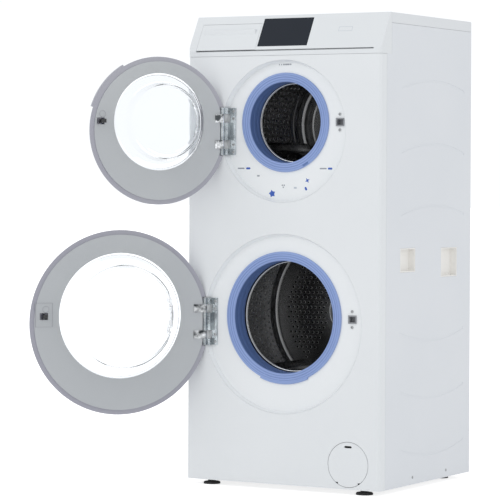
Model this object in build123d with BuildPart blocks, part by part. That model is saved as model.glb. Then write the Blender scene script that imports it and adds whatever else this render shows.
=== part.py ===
from build123d import *
from dataclasses import dataclass
from math import atan2, cos, degrees, sin, sqrt
import os

# Twin-drum washer dryer tower: one cabinet with a small washing drum above a large
# washer-dryer drum. Millimetres. The origin is on the floor under the middle of the
# cabinet, +X to the right of someone facing the doors, +Y to the back, +Z up.
# Depths (d) are measured backwards from the flat front panel.

os.makedirs("parts", exist_ok=True)

# ---- cabinet
width = 595.0
height = 1280.0
depth = 550.0
foot_height = 14.0          # floor to the underside of the cabinet
sheet = 1.2                 # steel panels
front_corner = 10.0         # radius of the front panel's vertical edges
front_return = 32.0         # how far the front panel wraps round the sides
seam_height = 1168.5        # joint between the front panel and the control fascia
lid_thickness = 28.0
lid_overhang = 6.0          # past the back panel
panel_gap = 0.6             # visible joints between outer pieces
flange = 18.0               # turned-in edges of the sheet panels

# ---- pressed beads and recessed grips on the side panels
bead_width = 6.0
bead_depth = 0.8
bead_rise = 25.0
bead_front = 116.0
bead_back = 505.0
bead_peaks = [1105.0, 933.0, 765.0]
bead_troughs = [398.0, 242.0, 87.0]
grip_cups = [((115.0, 205.0), (587.0, 652.0)), ((363.0, 463.0), (568.0, 649.0))]
cup_depth = 22.0
cup_wall = 3.0

# ---- control fascia, dispenser and display
fascia_cheek = 60.0         # depth of the fascia's ends
fascia_setback = 52.5       # how far its top edge lies behind the front panel
fascia_foot = 1184.5        # lower edge of the sloping face
fascia_wall = 3.0
slot_height = 3.5           # full-width finger slot under the sloping face
slot_depth = 14.0
slot_width = 548.0
display_width = 153.0
display_height = 88.0
display_x = -7.0
display_thickness = 2.0
drawer_right = -88.0        # right edge of the drawer's front
drawer_length = 250.0
drawer_wall = 2.0
drawer_floor = 1192.0
drawer_play = 1.5

# ---- filter flap in the lower right corner
flap_x = 203.6
flap_z = 79.7
flap_radius = 59.5
flap_thickness = 2.5
flap_play = 1.2
flap_pin_drop = 50.0        # the flap's hinge pin lies this far below its middle
flap_pin_depth = 2.8
flap_pin_radius = 1.2
filter_cap_radius = 27.0
filter_cap_depth = 20.0

# ---- feet
foot_x = 236.0
foot_front = 34.0
foot_back = 490.0
foot_radius = 23.0
stud_radius = 5.0
stud_top = 34.0

# ---- drive line, the same for both drums
shaft_radius = 15.0
bearing_radius = 31.0
bearing_width = 16.0
bearing_play = 0.05         # radial running clearance of the shaft
drum_wall = 1.2
tub_wall = 4.0
tub_front = 52.0            # depth of the tub's front face
tub_split = 240.0           # depth of the joint between the tub's two halves
tub_back = 440.0            # depth of the tub's back face
drum_front = 70.0
drum_back = 396.0
shaft_end = 508.0
stator_front = 472.0
stator_back = 494.0
air_gap = 2.0

# ---- doors, hinges and locks
dish_wall_slope = 5.0
collar_depth = 9.0
surround_flange = 8.0
door_face = -5.0            # depth of the closed door's inner face
door_plate = 3.0
door_bulge = 31.0           # inner face to the outermost ring
door_lip = 12.5             # how far the outer ring overlaps the inner face
grip_lip = 5.0              # how far the finger lip stands out from the door's edge
window_rim = 4.0            # the outer window is wider than the bowl's opening by this much
pin_depth = -5.6
pin_radius = 3.0
pin_play = 0.05
knuckle_radius = 5.2
strap_height = 22.0
strap_pitch = 71.0
strap_thickness = 2.5
hinge_play = 0.5            # between knuckles along the pin
base_plate = 3.0
base_offset = 13.0          # from the pin to the near edge of the base plate
base_width = 18.0
tab = 2.5
ear_height = 17.0
bowl_wall = 3.5
bowl_reach = 60.0           # depth of the bowl's flat end
hook_width = 6.0
hook_height = 10.0
strike_thickness = 3.0
lock_depth = 11.0


@dataclass
class Unit:
    name: str
    drum_z: float           # height of the drum's and the gasket's axis
    door_z: float           # height of the door's middle
    dish_radius: float      # recess in the front panel that the door closes over
    dish_depth: float
    gasket_radius: float    # outer edge of the gasket's bead
    mouth_radius: float     # inner edge of the gasket
    drum_radius: float
    tub_radius: float
    rotor_radius: float
    door_radius: float
    bowl_radius: float      # opening in the door's inner face
    pin_x: float
    open_angle: float       # the door's opening at rest, against its stop
    strap_reach: float
    strike_x: float
    spring_x: float
    spring_top: float
    spring_length: float
    damper_x: float         # lower end of the damper
    damper_lug_x: float     # upper end, on the tub
    damper_foot: float      # height of the surface the damper stands on
    lifter_height: float
    lifter_angle: float     # of the first lifter, anticlockwise from +X
    grip_arc: tuple         # span of the finger lip on the door's free edge, in degrees

    @property
    def seat_radius(self):
        return self.gasket_radius - 8.0

    @property
    def face_radius(self):
        return self.door_radius - door_lip


upper = Unit("upper", 988.0, 964.0, 192.0, 16.0, 134.0, 108.5, 166.0, 188.0, 92.0,
             199.0, 130.8, -185.0, 125.4, 22.0, 166.0, 175.0, 1184.0, 84.0, 215.0, 150.0, 768.0,
             42.0, 90.0, (18.0, 59.0))
lower = Unit("lower", 464.0, 446.0, 242.0, 12.0, 176.5, 151.0, 248.0, 272.0, 130.0,
             249.5, 169.7, -237.5, 132.8, 32.0, 208.0, 232.0, 756.0, 106.0, 215.0, 170.0, 67.0,
             70.0, 235.0, ())
units = (upper, lower)

front = -depth / 2
half = width / 2
lid_under = height - lid_thickness
tilt = atan2(fascia_setback, height - fascia_foot)
fascia_face = Plane(origin=(0, front + fascia_setback / 2, (fascia_foot + height) / 2),
                    x_dir=(1, 0, 0), z_dir=(0, -cos(tilt), sin(tilt)))


def slope_depth(z):
    """Depth of the sloping face of the fascia at height z."""
    return (z - fascia_foot) * fascia_setback / (height - fascia_foot)


def block(x, d, z, mode=Mode.ADD):
    """A box between pairs of limits: across, in depth and in height."""
    with BuildSketch(Plane.XY.offset(z[0])) as section:
        with Locations(((x[0] + x[1]) / 2, front + (d[0] + d[1]) / 2)):
            Rectangle(x[1] - x[0], d[1] - d[0])
    extrude(section.sketch, amount=z[1] - z[0], mode=mode)


def disc(x, z, d, length, radius, mode=Mode.ADD):
    """A cylinder that runs backwards from depth d."""
    with BuildSketch(Plane.XZ.offset(-front - d)) as section:
        with Locations((x, z)):
            Circle(radius)
    extrude(section.sketch, amount=-length, mode=mode)


def ring(profile, z, x=0.0, mode=Mode.ADD):
    """A closed profile of (depth, radius) points turned about a front-to-back axis."""
    with BuildSketch(Plane.YZ.offset(x)) as section:
        with BuildLine():
            Polyline(*[(front + d, z + r) for d, r in profile], close=True)
        make_face()
    revolve(section.sketch, axis=Axis((x, 0, z), (0, 1, 0)), mode=mode)


def post(x, d, z, length, radius, mode=Mode.ADD):
    """An upright cylinder that starts at height z."""
    with BuildSketch(Plane.XY.offset(z)) as section:
        with Locations((x, front + d)):
            Circle(radius)
    extrude(section.sketch, amount=length, mode=mode)


def largest(part):
    """The body of a cut part, without the slivers that a cut can leave at its edge."""
    return part.solids().sort_by(SortBy.VOLUME)[-1]


def save(piece, name):
    piece.label = name
    export_step(piece, f"parts/{name}.step")


# ---------------------------------------------------------------- cabinet

feet_places = [(side * foot_x, d) for d in (foot_front, foot_back) for side in (-1, 1)]
frame_half = half - sheet - bead_depth - panel_gap
frame_front = front_corner + 2
frame_back = depth - 6
rail = 30.0
floor_plate = 4.0
frame_top = 62.0

with BuildPart() as base_frame:
    block((-frame_half, frame_half), (frame_front, frame_back), (foot_height, frame_top))
    block((-frame_half + rail, frame_half - rail), (frame_front + rail, frame_back - rail),
          (foot_height + floor_plate, frame_top), mode=Mode.SUBTRACT)
    for x, d in feet_places:
        post(x, d, foot_height, frame_top - foot_height - 10, 14.0)
    for side in (-1, 1):
        middle = side * lower.damper_x
        block((middle - 12, middle + 12), (tub_split, tub_split + 24),
              (foot_height, lower.damper_foot))
    disc(flap_x, flap_z, -1, 70, flap_radius + 3, mode=Mode.SUBTRACT)
    block((flap_x - 45, flap_x + 45), (-1, 26), (foot_height + floor_plate, frame_top),
          mode=Mode.SUBTRACT)
    for x, d in feet_places:
        post(x, d, foot_height - 1, stud_top - foot_height + 2, stud_radius + 0.5, mode=Mode.SUBTRACT)
save(base_frame.part, "base_frame")



def bead(peak, rise, x, thickness, grow, mode):
    """A shallow arched band on a side panel, wider by grow all round."""
    half_width = bead_width / 2 + grow
    middle = (bead_front + bead_back) / 2
    ends = peak - rise
    with BuildSketch(Plane.YZ.offset(x)) as section:
        with BuildLine():
            top = ThreePointArc((front + bead_front, ends + half_width),
                                (front + middle, peak + half_width),
                                (front + bead_back, ends + half_width))
            low = ThreePointArc((front + bead_front, ends - half_width),
                                (front + middle, peak - half_width),
                                (front + bead_back, ends - half_width))
            Line(top @ 0, low @ 0)
            Line(top @ 1, low @ 1)
        make_face()
    extrude(section.sketch, amount=thickness, mode=mode)


for side, side_name in ((-1, "left"), (1, "right")):
    outside = side * half
    with BuildPart() as side_panel:
        with BuildSketch(Plane.YZ.offset(outside)) as outline:
            with BuildLine():
                Polyline(
                    (front + front_return + panel_gap, foot_height),
                    (front + depth, foot_height),
                    (front + depth, lid_under - panel_gap),
                    (front + fascia_cheek + panel_gap, lid_under - panel_gap),
                    (front + fascia_cheek + panel_gap, seam_height),
                    (front + front_return + panel_gap, seam_height),
                    close=True,
                )
            make_face()
        extrude(outline.sketch, amount=-side * sheet)
        block(sorted((outside, outside - side * flange)), (depth - sheet, depth),
              (foot_height, lid_under - panel_gap))
        for peak, rise in [(z, bead_rise) for z in bead_peaks] + [(z, -bead_rise) for z in bead_troughs]:
            bead(peak, rise, outside - side * sheet, -side * bead_depth, 1.5, Mode.ADD)
            bead(peak, rise, outside, -side * bead_depth, 0.0, Mode.SUBTRACT)
        for d, z in grip_cups:
            block(sorted((outside + side, outside - side * 5)), d, z, mode=Mode.SUBTRACT)
    save(side_panel.part, f"{side_name}_side_panel")

with BuildPart() as carry_grips:
    for side in (-1, 1):
        for d, z in grip_cups:
            fit = 0.3
            outer_d, outer_z = (d[0] + fit, d[1] - fit), (z[0] + fit, z[1] - fit)
            face, back = side * (half - 0.2), side * (half - cup_depth)
            block(sorted((face, back)), outer_d, outer_z)
            inner_d = (outer_d[0] + cup_wall, outer_d[1] - cup_wall)
            inner_z = (outer_z[0] + cup_wall, outer_z[1] - cup_wall)
            block(sorted((face + side, back + side * cup_wall)), inner_d, inner_z, mode=Mode.SUBTRACT)
save(carry_grips.part, "carry_grips")

with BuildPart() as front_panel:
    with BuildSketch(Plane.XY.offset(foot_height)) as outline:
        with Locations((0, front + front_return / 2)):
            Rectangle(width, front_return)
        fillet(outline.vertices().group_by(Axis.Y)[0], radius=front_corner)
    extrude(amount=seam_height - foot_height - panel_gap)
    with BuildSketch(Plane.XY.offset(foot_height)) as inside:
        with Locations((0, front + sheet + front_return / 2)):
            Rectangle(width - 2 * sheet, front_return)
        fillet(inside.vertices().group_by(Axis.Y)[0], radius=front_corner - sheet)
    extrude(amount=seam_height - foot_height - panel_gap, mode=Mode.SUBTRACT)
    for unit in units:
        disc(0, unit.door_z, -1, sheet + 2, unit.dish_radius, mode=Mode.SUBTRACT)
    disc(flap_x, flap_z, -1, sheet + 2, flap_radius + flap_play, mode=Mode.SUBTRACT)
save(front_panel.part, "front_panel")

# Each surround is the recess that its door closes over; its flange lies behind the front panel.
for unit in units:
    edge, floor, seat = unit.dish_radius - 0.4, unit.dish_depth, unit.seat_radius
    with BuildPart() as surround:
        ring([(0.2, edge), (floor, edge - dish_wall_slope), (floor, 0), (floor + sheet, 0),
              (floor + sheet, edge - dish_wall_slope + sheet), (2 * sheet + 0.5, edge + sheet),
              (2 * sheet + 0.5, edge + surround_flange), (sheet + 0.5, edge + surround_flange),
              (sheet + 0.5, edge)], unit.door_z)
        disc(0, unit.drum_z, floor - 1, sheet + 2, seat, mode=Mode.SUBTRACT)
        ring([(floor, seat), (floor + collar_depth, seat), (floor + collar_depth, seat + sheet),
              (floor, seat + sheet)], unit.drum_z)
        block((unit.strike_x - 9, unit.strike_x + 13), (floor - 1, floor + 4),
              (unit.drum_z - 9, unit.drum_z + 9), mode=Mode.SUBTRACT)
    save(surround.part, f"{unit.name}_surround")

back_depth = depth - 3.0
valve_x = (-215.0, -165.0)
valve_z = 1130.0
valve_radius = 13.2
valve_spout = 12.0
spigot_x = 205.0
spigot_z = 1080.0
spigot_radius = 11.0
spigot_length = 18.0
step = 0.8                  # shoulder where a spout leaves the back panel
gland_x = 205.0
gland_z = 1145.0
gland_radius = 9.0
cover_width = 380.0
cover_heights = ((190.0, 700.0), (820.0, 1060.0))

with BuildPart() as back_panel:
    block((-half + flange / 2, half - flange / 2), (back_depth, back_depth + sheet),
          (foot_height + 1, lid_under - panel_gap))
    for z in cover_heights:
        block((-cover_width / 2, cover_width / 2), (back_depth - 4, back_depth + sheet), z)
        block((-cover_width / 2 + sheet, cover_width / 2 - sheet), (back_depth - 4 - 1, back_depth),
              (z[0] + sheet, z[1] - sheet), mode=Mode.SUBTRACT)
    for x in valve_x:
        disc(x, valve_z, back_depth - 1, 5, valve_radius + step + 0.6, mode=Mode.SUBTRACT)
    disc(spigot_x, spigot_z, back_depth - 1, 5, spigot_radius + step + 0.6, mode=Mode.SUBTRACT)
    disc(gland_x, gland_z, back_depth - 1, 5, gland_radius + 0.5, mode=Mode.SUBTRACT)
save(back_panel.part, "back_panel")

with BuildPart() as top_lid:
    with BuildSketch(Plane.XY.offset(lid_under)) as outline:
        lid_length = depth + lid_overhang - fascia_cheek - panel_gap
        with Locations((0, front + fascia_cheek + panel_gap + lid_length / 2)):
            Rectangle(width, lid_length)
        fillet(outline.vertices().group_by(Axis.Y)[-1], radius=8)
    extrude(amount=lid_thickness)
    fillet(top_lid.faces().sort_by(Axis.Z)[-1].edges(), radius=2.5)
save(top_lid.part, "top_lid")

shelf_z = upper.damper_foot

with BuildPart() as cross_members:
    block((-frame_half, frame_half), (40, back_depth - 8), (shelf_z - 2, shelf_z))
    for d in (40, back_depth - 8 - 2):
        block((-frame_half, frame_half), (d, d + 2), (shelf_z - 26, shelf_z))
    block((-frame_half, frame_half), (tub_split, tub_split + 24), (upper.spring_top, upper.spring_top + 4))
save(cross_members.part, "cross_members")

# ---------------------------------------------------------------- control fascia

shell = fascia_wall
lip_top = fascia_foot - slot_height


def slope_section(inset, top, back, foot=fascia_foot):
    """Corners of a side view of the fascia, inset from its sloping face."""
    shift = inset / cos(tilt)
    return [(slope_depth(foot) + shift, foot), (back, foot), (back, top), (slope_depth(top) + shift, top)]


with BuildPart() as control_fascia:
    with BuildSketch(Plane.YZ.offset(-half)) as section:
        with BuildLine():
            Polyline(
                (front, seam_height), (front, fascia_foot), (front + fascia_setback, height),
                (front + fascia_cheek, height), (front + fascia_cheek, seam_height), close=True,
            )
        make_face()
    extrude(section.sketch, amount=width)
    fillet(control_fascia.edges().filter_by(Axis.Z).group_by(Axis.Y)[0], radius=front_corner - 2)
    with BuildSketch(Plane.YZ.offset(-half + shell)) as hollow:
        with BuildLine():
            foot_in = fascia_foot + shell
            Polyline(*[(front + d, z) for d, z in
                       slope_section(shell, height - shell, fascia_cheek + 1, foot_in)], close=True)
        make_face()
    extrude(hollow.sketch, amount=width - 2 * shell, mode=Mode.SUBTRACT)
    block((-half + shell, half - shell), (slot_depth + 2 * shell, fascia_cheek + 1),
          (seam_height - 1, fascia_foot + shell + 1), mode=Mode.SUBTRACT)
    block((-slot_width / 2, slot_width / 2), (-1, slot_depth), (lip_top, fascia_foot), mode=Mode.SUBTRACT)
    with BuildSketch(fascia_face.offset(-display_thickness)) as display_seat:
        with Locations((display_x, 0)):
            Rectangle(display_width + 0.6, display_height + 0.6)
    extrude(display_seat.sketch, amount=display_thickness + 1, mode=Mode.SUBTRACT)
    block((-slot_width / 2, drawer_right), (-1, fascia_cheek + 1),
          (fascia_foot - 0.01, lid_under + 6), mode=Mode.SUBTRACT)
save(control_fascia.part, "control_fascia")

with BuildPart() as touch_display:
    with BuildSketch(fascia_face.offset(-display_thickness)) as pane:
        with Locations((display_x, 0)):
            RectangleRounded(display_width, display_height, 3)
    extrude(amount=display_thickness)
save(touch_display.part, "touch_display")

board_gap = 5.0
with BuildPart() as control_board:
    with BuildSketch(fascia_face.offset(-shell - board_gap)) as board:
        with Locations((display_x, -4)):
            Rectangle(display_width - 6, display_height - 18)
    extrude(amount=-1.6)
    with BuildSketch(fascia_face.offset(-shell - board_gap - 1.6)) as chips:
        with Locations((display_x, -4)):
            with GridLocations(34, 22, 4, 2):
                Rectangle(16, 12)
    extrude(chips.sketch, amount=-3)
    with BuildSketch(fascia_face.offset(-shell)) as studs:
        with Locations((display_x, -4)):
            with GridLocations(display_width - 16, display_height - 32, 2, 2):
                Circle(3)
    extrude(studs.sketch, amount=-board_gap)
save(control_board.part, "control_board")

front_left = -slot_width / 2 + panel_gap
front_right = drawer_right - panel_gap
drawer_top = lid_under - 6.0
tray_left = front_left + 12
tray_right = front_right - 12
tray_front = 24.0
tray_back = tray_front + drawer_length
housing_gap = drawer_play + drawer_wall
housing_front = fascia_cheek + 4

with BuildPart() as dispenser_drawer:
    with BuildSketch(Plane.YZ.offset(front_left)) as section:
        with BuildLine():
            low, high = fascia_foot + panel_gap, lid_under + 6 - panel_gap
            Polyline(
                (front + slope_depth(low), low), (front + slope_depth(high), high),
                (front + slope_depth(high) + 5, high), (front + tray_front + 4, drawer_floor),
                (front + slope_depth(low) + 5, low), close=True,
            )
        make_face()
    extrude(section.sketch, amount=front_right - front_left)
    block((tray_left, tray_right), (tray_front, tray_back), (drawer_floor, drawer_top - 4))
    wall = drawer_wall
    middle = (tray_left + tray_right) / 2
    back_bay = tray_front + drawer_length * 0.55
    for x in ((tray_left + wall, middle - wall / 2), (middle + wall / 2, tray_right - wall)):
        for d in ((tray_front + 22, back_bay), (back_bay + wall, tray_back - wall)):
            block(x, d, (drawer_floor + wall, height), mode=Mode.SUBTRACT)
save(dispenser_drawer.part, "dispenser_drawer")

with BuildPart() as dispenser_housing:
    block((tray_left - housing_gap, tray_right + housing_gap), (housing_front, tray_back + housing_gap),
          (drawer_floor - housing_gap, drawer_top + wall))
    block((tray_left - drawer_play, tray_right + drawer_play), (housing_front - 1, tray_back + drawer_play),
          (drawer_floor - drawer_play, drawer_top), mode=Mode.SUBTRACT)
save(dispenser_housing.part, "dispenser_housing")

# ---------------------------------------------------------------- gaskets, tubs and drums

sleeve = 5.0
hub = bearing_radius + 8
hub_back = tub_back + 30
front_bearing = tub_back - tub_wall - 2

with BuildPart() as tub_fronts:
    for unit in units:
        outer, inner, opening = unit.tub_radius, unit.tub_radius - tub_wall, unit.seat_radius - sleeve
        ring([(tub_front, opening), (tub_front, outer - 10), (tub_front + 10, outer),
              (tub_split - 8, outer), (tub_split - 8, outer + 6), (tub_split, outer + 6),
              (tub_split, inner), (tub_front + 12, inner), (tub_front + tub_wall, outer - 12),
              (tub_front + tub_wall, opening)], unit.drum_z)
save(tub_fronts.part, "tub_fronts")

with BuildPart() as tub_rears:
    for unit in units:
        outer, inner, rim = unit.tub_radius, unit.tub_radius - tub_wall, unit.tub_radius + 6
        lug_z = unit.drum_z - sqrt(outer ** 2 - unit.damper_lug_x ** 2)
        ear_top = unit.spring_top - unit.spring_length
        ear_root = sqrt(outer ** 2 - (ear_top - 3 - unit.drum_z) ** 2) - 2
        for side in (-1, 1):
            block(sorted((side * ear_root, side * (unit.spring_x + 9))), (tub_split, tub_split + 24),
                  (ear_top - 6, ear_top))
            block((side * unit.damper_lug_x - 10, side * unit.damper_lug_x + 10),
                  (tub_split, tub_split + 24), (lug_z - 14, lug_z + 6))
        disc(0, unit.drum_z, tub_split - 1, 60, inner + 1, mode=Mode.SUBTRACT)
        with BuildSketch(Plane.XZ.offset(-front - tub_back)) as ribs:
            with Locations((0, unit.drum_z)):
                with PolarLocations((hub + outer) / 2 - 8, 12):
                    Rectangle(outer - 12 - hub, 4)
        extrude(ribs.sketch, amount=-14)
        ring([(tub_split, inner), (tub_split, rim), (tub_split + 8, rim), (tub_split + 8, outer),
              (tub_back - 8, outer), (tub_back, outer - 8), (tub_back, hub), (hub_back, hub),
              (hub_back, bearing_radius), (hub_back - bearing_width, bearing_radius),
              (hub_back - bearing_width, bearing_radius - 5),
              (front_bearing + bearing_width, bearing_radius - 5),
              (front_bearing + bearing_width, bearing_radius),
              (tub_back - tub_wall, bearing_radius), (tub_back - tub_wall, outer - 9),
              (tub_back - 10, inner)], unit.drum_z)
save(tub_rears.part, "tub_rears")

for unit in units:
    floor, mouth, seat, bead_edge = unit.dish_depth, unit.mouth_radius, unit.seat_radius, unit.gasket_radius
    with BuildPart() as gasket:
        ring([(floor, bead_edge), (floor - 4, bead_edge - 1), (floor - 6, bead_edge - 5),
              (floor - 5, mouth + 3), (floor - 1, mouth), (floor + 50, mouth),
              (floor + 50, mouth + 4), (floor + 6, mouth + 5), (floor + 6, seat - sleeve),
              (tub_front, seat - sleeve), (tub_front, seat), (floor, seat)], unit.drum_z)
    save(gasket.part, f"{unit.name}_gasket")

    radius, lip = unit.drum_radius, unit.mouth_radius - 5
    wall = drum_wall
    with BuildPart() as drum:
        ring([(drum_front, lip), (drum_front - 3, lip + 3), (drum_front, lip + 6),
              (drum_front + 8, radius - 14), (drum_front + 22, radius),
              (drum_back - 14, radius), (drum_back, radius - 14), (drum_back, 0),
              (drum_back - wall, 0), (drum_back - wall, radius - 14.5), (drum_back - 14.5, radius - wall),
              (drum_front + 22.5, radius - wall), (drum_front + 8 + wall, radius - 14.5),
              (drum_front + wall, lip + 6.2), (drum_front + wall, lip)], unit.drum_z)
        for joint in (drum_front + 24, drum_back - 16):
            split(bisect_by=Plane.XZ.offset(-front - joint), keep=Keep.BOTH)
    save(drum.part, f"{unit.name}_drum")

    lifter_gap = 0.1
    base, crest, rise = radius * 0.16, radius * 0.08, unit.lifter_height
    with BuildPart() as lifters:
        with BuildSketch(Plane.XZ.offset(-front - drum_front - 40)) as section:
            with Locations((0, unit.drum_z)):
                with PolarLocations(radius - rise / 2, 3, start_angle=unit.lifter_angle):
                    Trapezoid(2 * base, rise, degrees(atan2(rise, base - crest)), rotation=90)
        extrude(section.sketch, amount=-(drum_back - drum_front - 80))
        with BuildSketch(Plane.XZ.offset(-front)) as bound:
            with Locations((0, unit.drum_z)):
                Circle(radius - wall - lifter_gap)
        extrude(bound.sketch, amount=-depth, mode=Mode.INTERSECT)
    save(lifters.part, f"{unit.name}_lifters")

    journal = shaft_radius - bearing_play
    with BuildPart() as shaft:
        disc(0, unit.drum_z, drum_back + 0.2, shaft_end - drum_back, journal)
        ring([(drum_back + 0.2, 0), (drum_back + 0.2, 34), (tub_back - tub_wall - 4, 22),
              (tub_back - tub_wall - 4, 0)], unit.drum_z)
        with BuildSketch(Plane.XZ.offset(-front - drum_back - 0.2)) as arms:
            with Locations((0, unit.drum_z)):
                with PolarLocations((radius - 16) / 2, 3, start_angle=90):
                    Rectangle(radius - 16, 30)
        extrude(arms.sketch, amount=-16)
    save(shaft.part, f"{unit.name}_drum_shaft")

    rim = unit.rotor_radius
    with BuildPart() as rotor:
        ring([(stator_front, rim), (stator_front, rim + 6), (shaft_end - 6, rim + 6),
              (shaft_end - 6, journal + 0.1), (shaft_end - 22, journal + 0.1), (shaft_end - 22, 26),
              (shaft_end - 10, 26), (shaft_end - 10, rim)], unit.drum_z)
        with BuildSketch(Plane.XZ.offset(-front - shaft_end + 12)) as vents:
            with Locations((0, unit.drum_z)):
                with PolarLocations(rim * 0.62, 8):
                    SlotOverall(rim * 0.42, 12)
        extrude(vents.sketch, amount=-10, mode=Mode.SUBTRACT)
    save(rotor.part, f"{unit.name}_rotor")

with BuildPart() as motor_stators:
    for unit in units:
        outer_edge = unit.rotor_radius - air_gap
        ring([(stator_front, hub), (stator_front, outer_edge), (stator_back - 10, outer_edge),
              (stator_back - 10, hub)], unit.drum_z)
        with BuildSketch(Plane.XZ.offset(-front - stator_front + 1)) as slots:
            with Locations((0, unit.drum_z)):
                with PolarLocations(outer_edge - 9, 24):
                    Rectangle(22, 3.5)
        extrude(slots.sketch, amount=-30, mode=Mode.SUBTRACT)
        ring([(hub_back, hub - 8), (hub_back, hub + 6), (stator_front, hub + 6), (stator_front, hub - 8)],
             unit.drum_z)
save(motor_stators.part, "motor_stators")

with BuildPart() as drum_bearings:
    for unit in units:
        for start in (front_bearing, hub_back - bearing_width):
            ring([(start, shaft_radius), (start + bearing_width, shaft_radius),
                  (start + bearing_width, bearing_radius), (start, bearing_radius)], unit.drum_z)
save(drum_bearings.part, "drum_bearings")

with BuildPart() as counterweights:
    for unit in units:
        ring([(tub_front - 22, unit.seat_radius + 10), (tub_front - 22, unit.tub_radius - 8),
              (tub_front, unit.tub_radius - 12), (tub_front, unit.seat_radius + 10)], unit.drum_z)
save(counterweights.part, "counterweights")

coil = 3.0
with BuildPart() as suspension_springs:
    for unit in units:
        turns = int(unit.spring_length / coil)
        pitch = unit.spring_length / turns
        low_end = unit.spring_top - unit.spring_length
        zigzag = [(9 - 2 * (n % 2), low_end + n * pitch) for n in range(turns + 1)]
        for side in (-1, 1):
            x = side * unit.spring_x
            with BuildSketch(Plane.XZ.offset(-front - tub_split - 12)) as section:
                with BuildLine():
                    Polyline((x, zigzag[0][1]), *[(x + r, z) for r, z in zigzag],
                             (x, zigzag[-1][1]), close=True)
                make_face()
            revolve(section.sketch, axis=Axis((x, front + tub_split + 12, 0), (0, 0, 1)))
save(suspension_springs.part, "suspension_springs")

eye = 8.0
with BuildPart() as suspension_dampers:
    for unit in units:
        lug_z = unit.drum_z - sqrt(unit.tub_radius ** 2 - unit.damper_lug_x ** 2) - 14
        for side in (-1, 1):
            foot = Vector(side * unit.damper_x, front + tub_split + 12, unit.damper_foot + eye)
            head = Vector(side * unit.damper_lug_x, front + tub_split + 12, lug_z - eye)
            run = head - foot
            along = Plane(origin=foot, z_dir=run)
            with BuildSketch(along) as rod:
                Circle(4.5)
            extrude(rod.sketch, amount=run.length)
            with BuildSketch(along.offset(run.length * 0.12)) as tube:
                Circle(11)
            extrude(tube.sketch, amount=run.length * 0.5)
            for end in (foot, head):
                disc(end.X, end.Z, tub_split + 2, 20, eye)
save(suspension_dampers.part, "suspension_dampers")

# ---------------------------------------------------------------- doors

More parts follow.
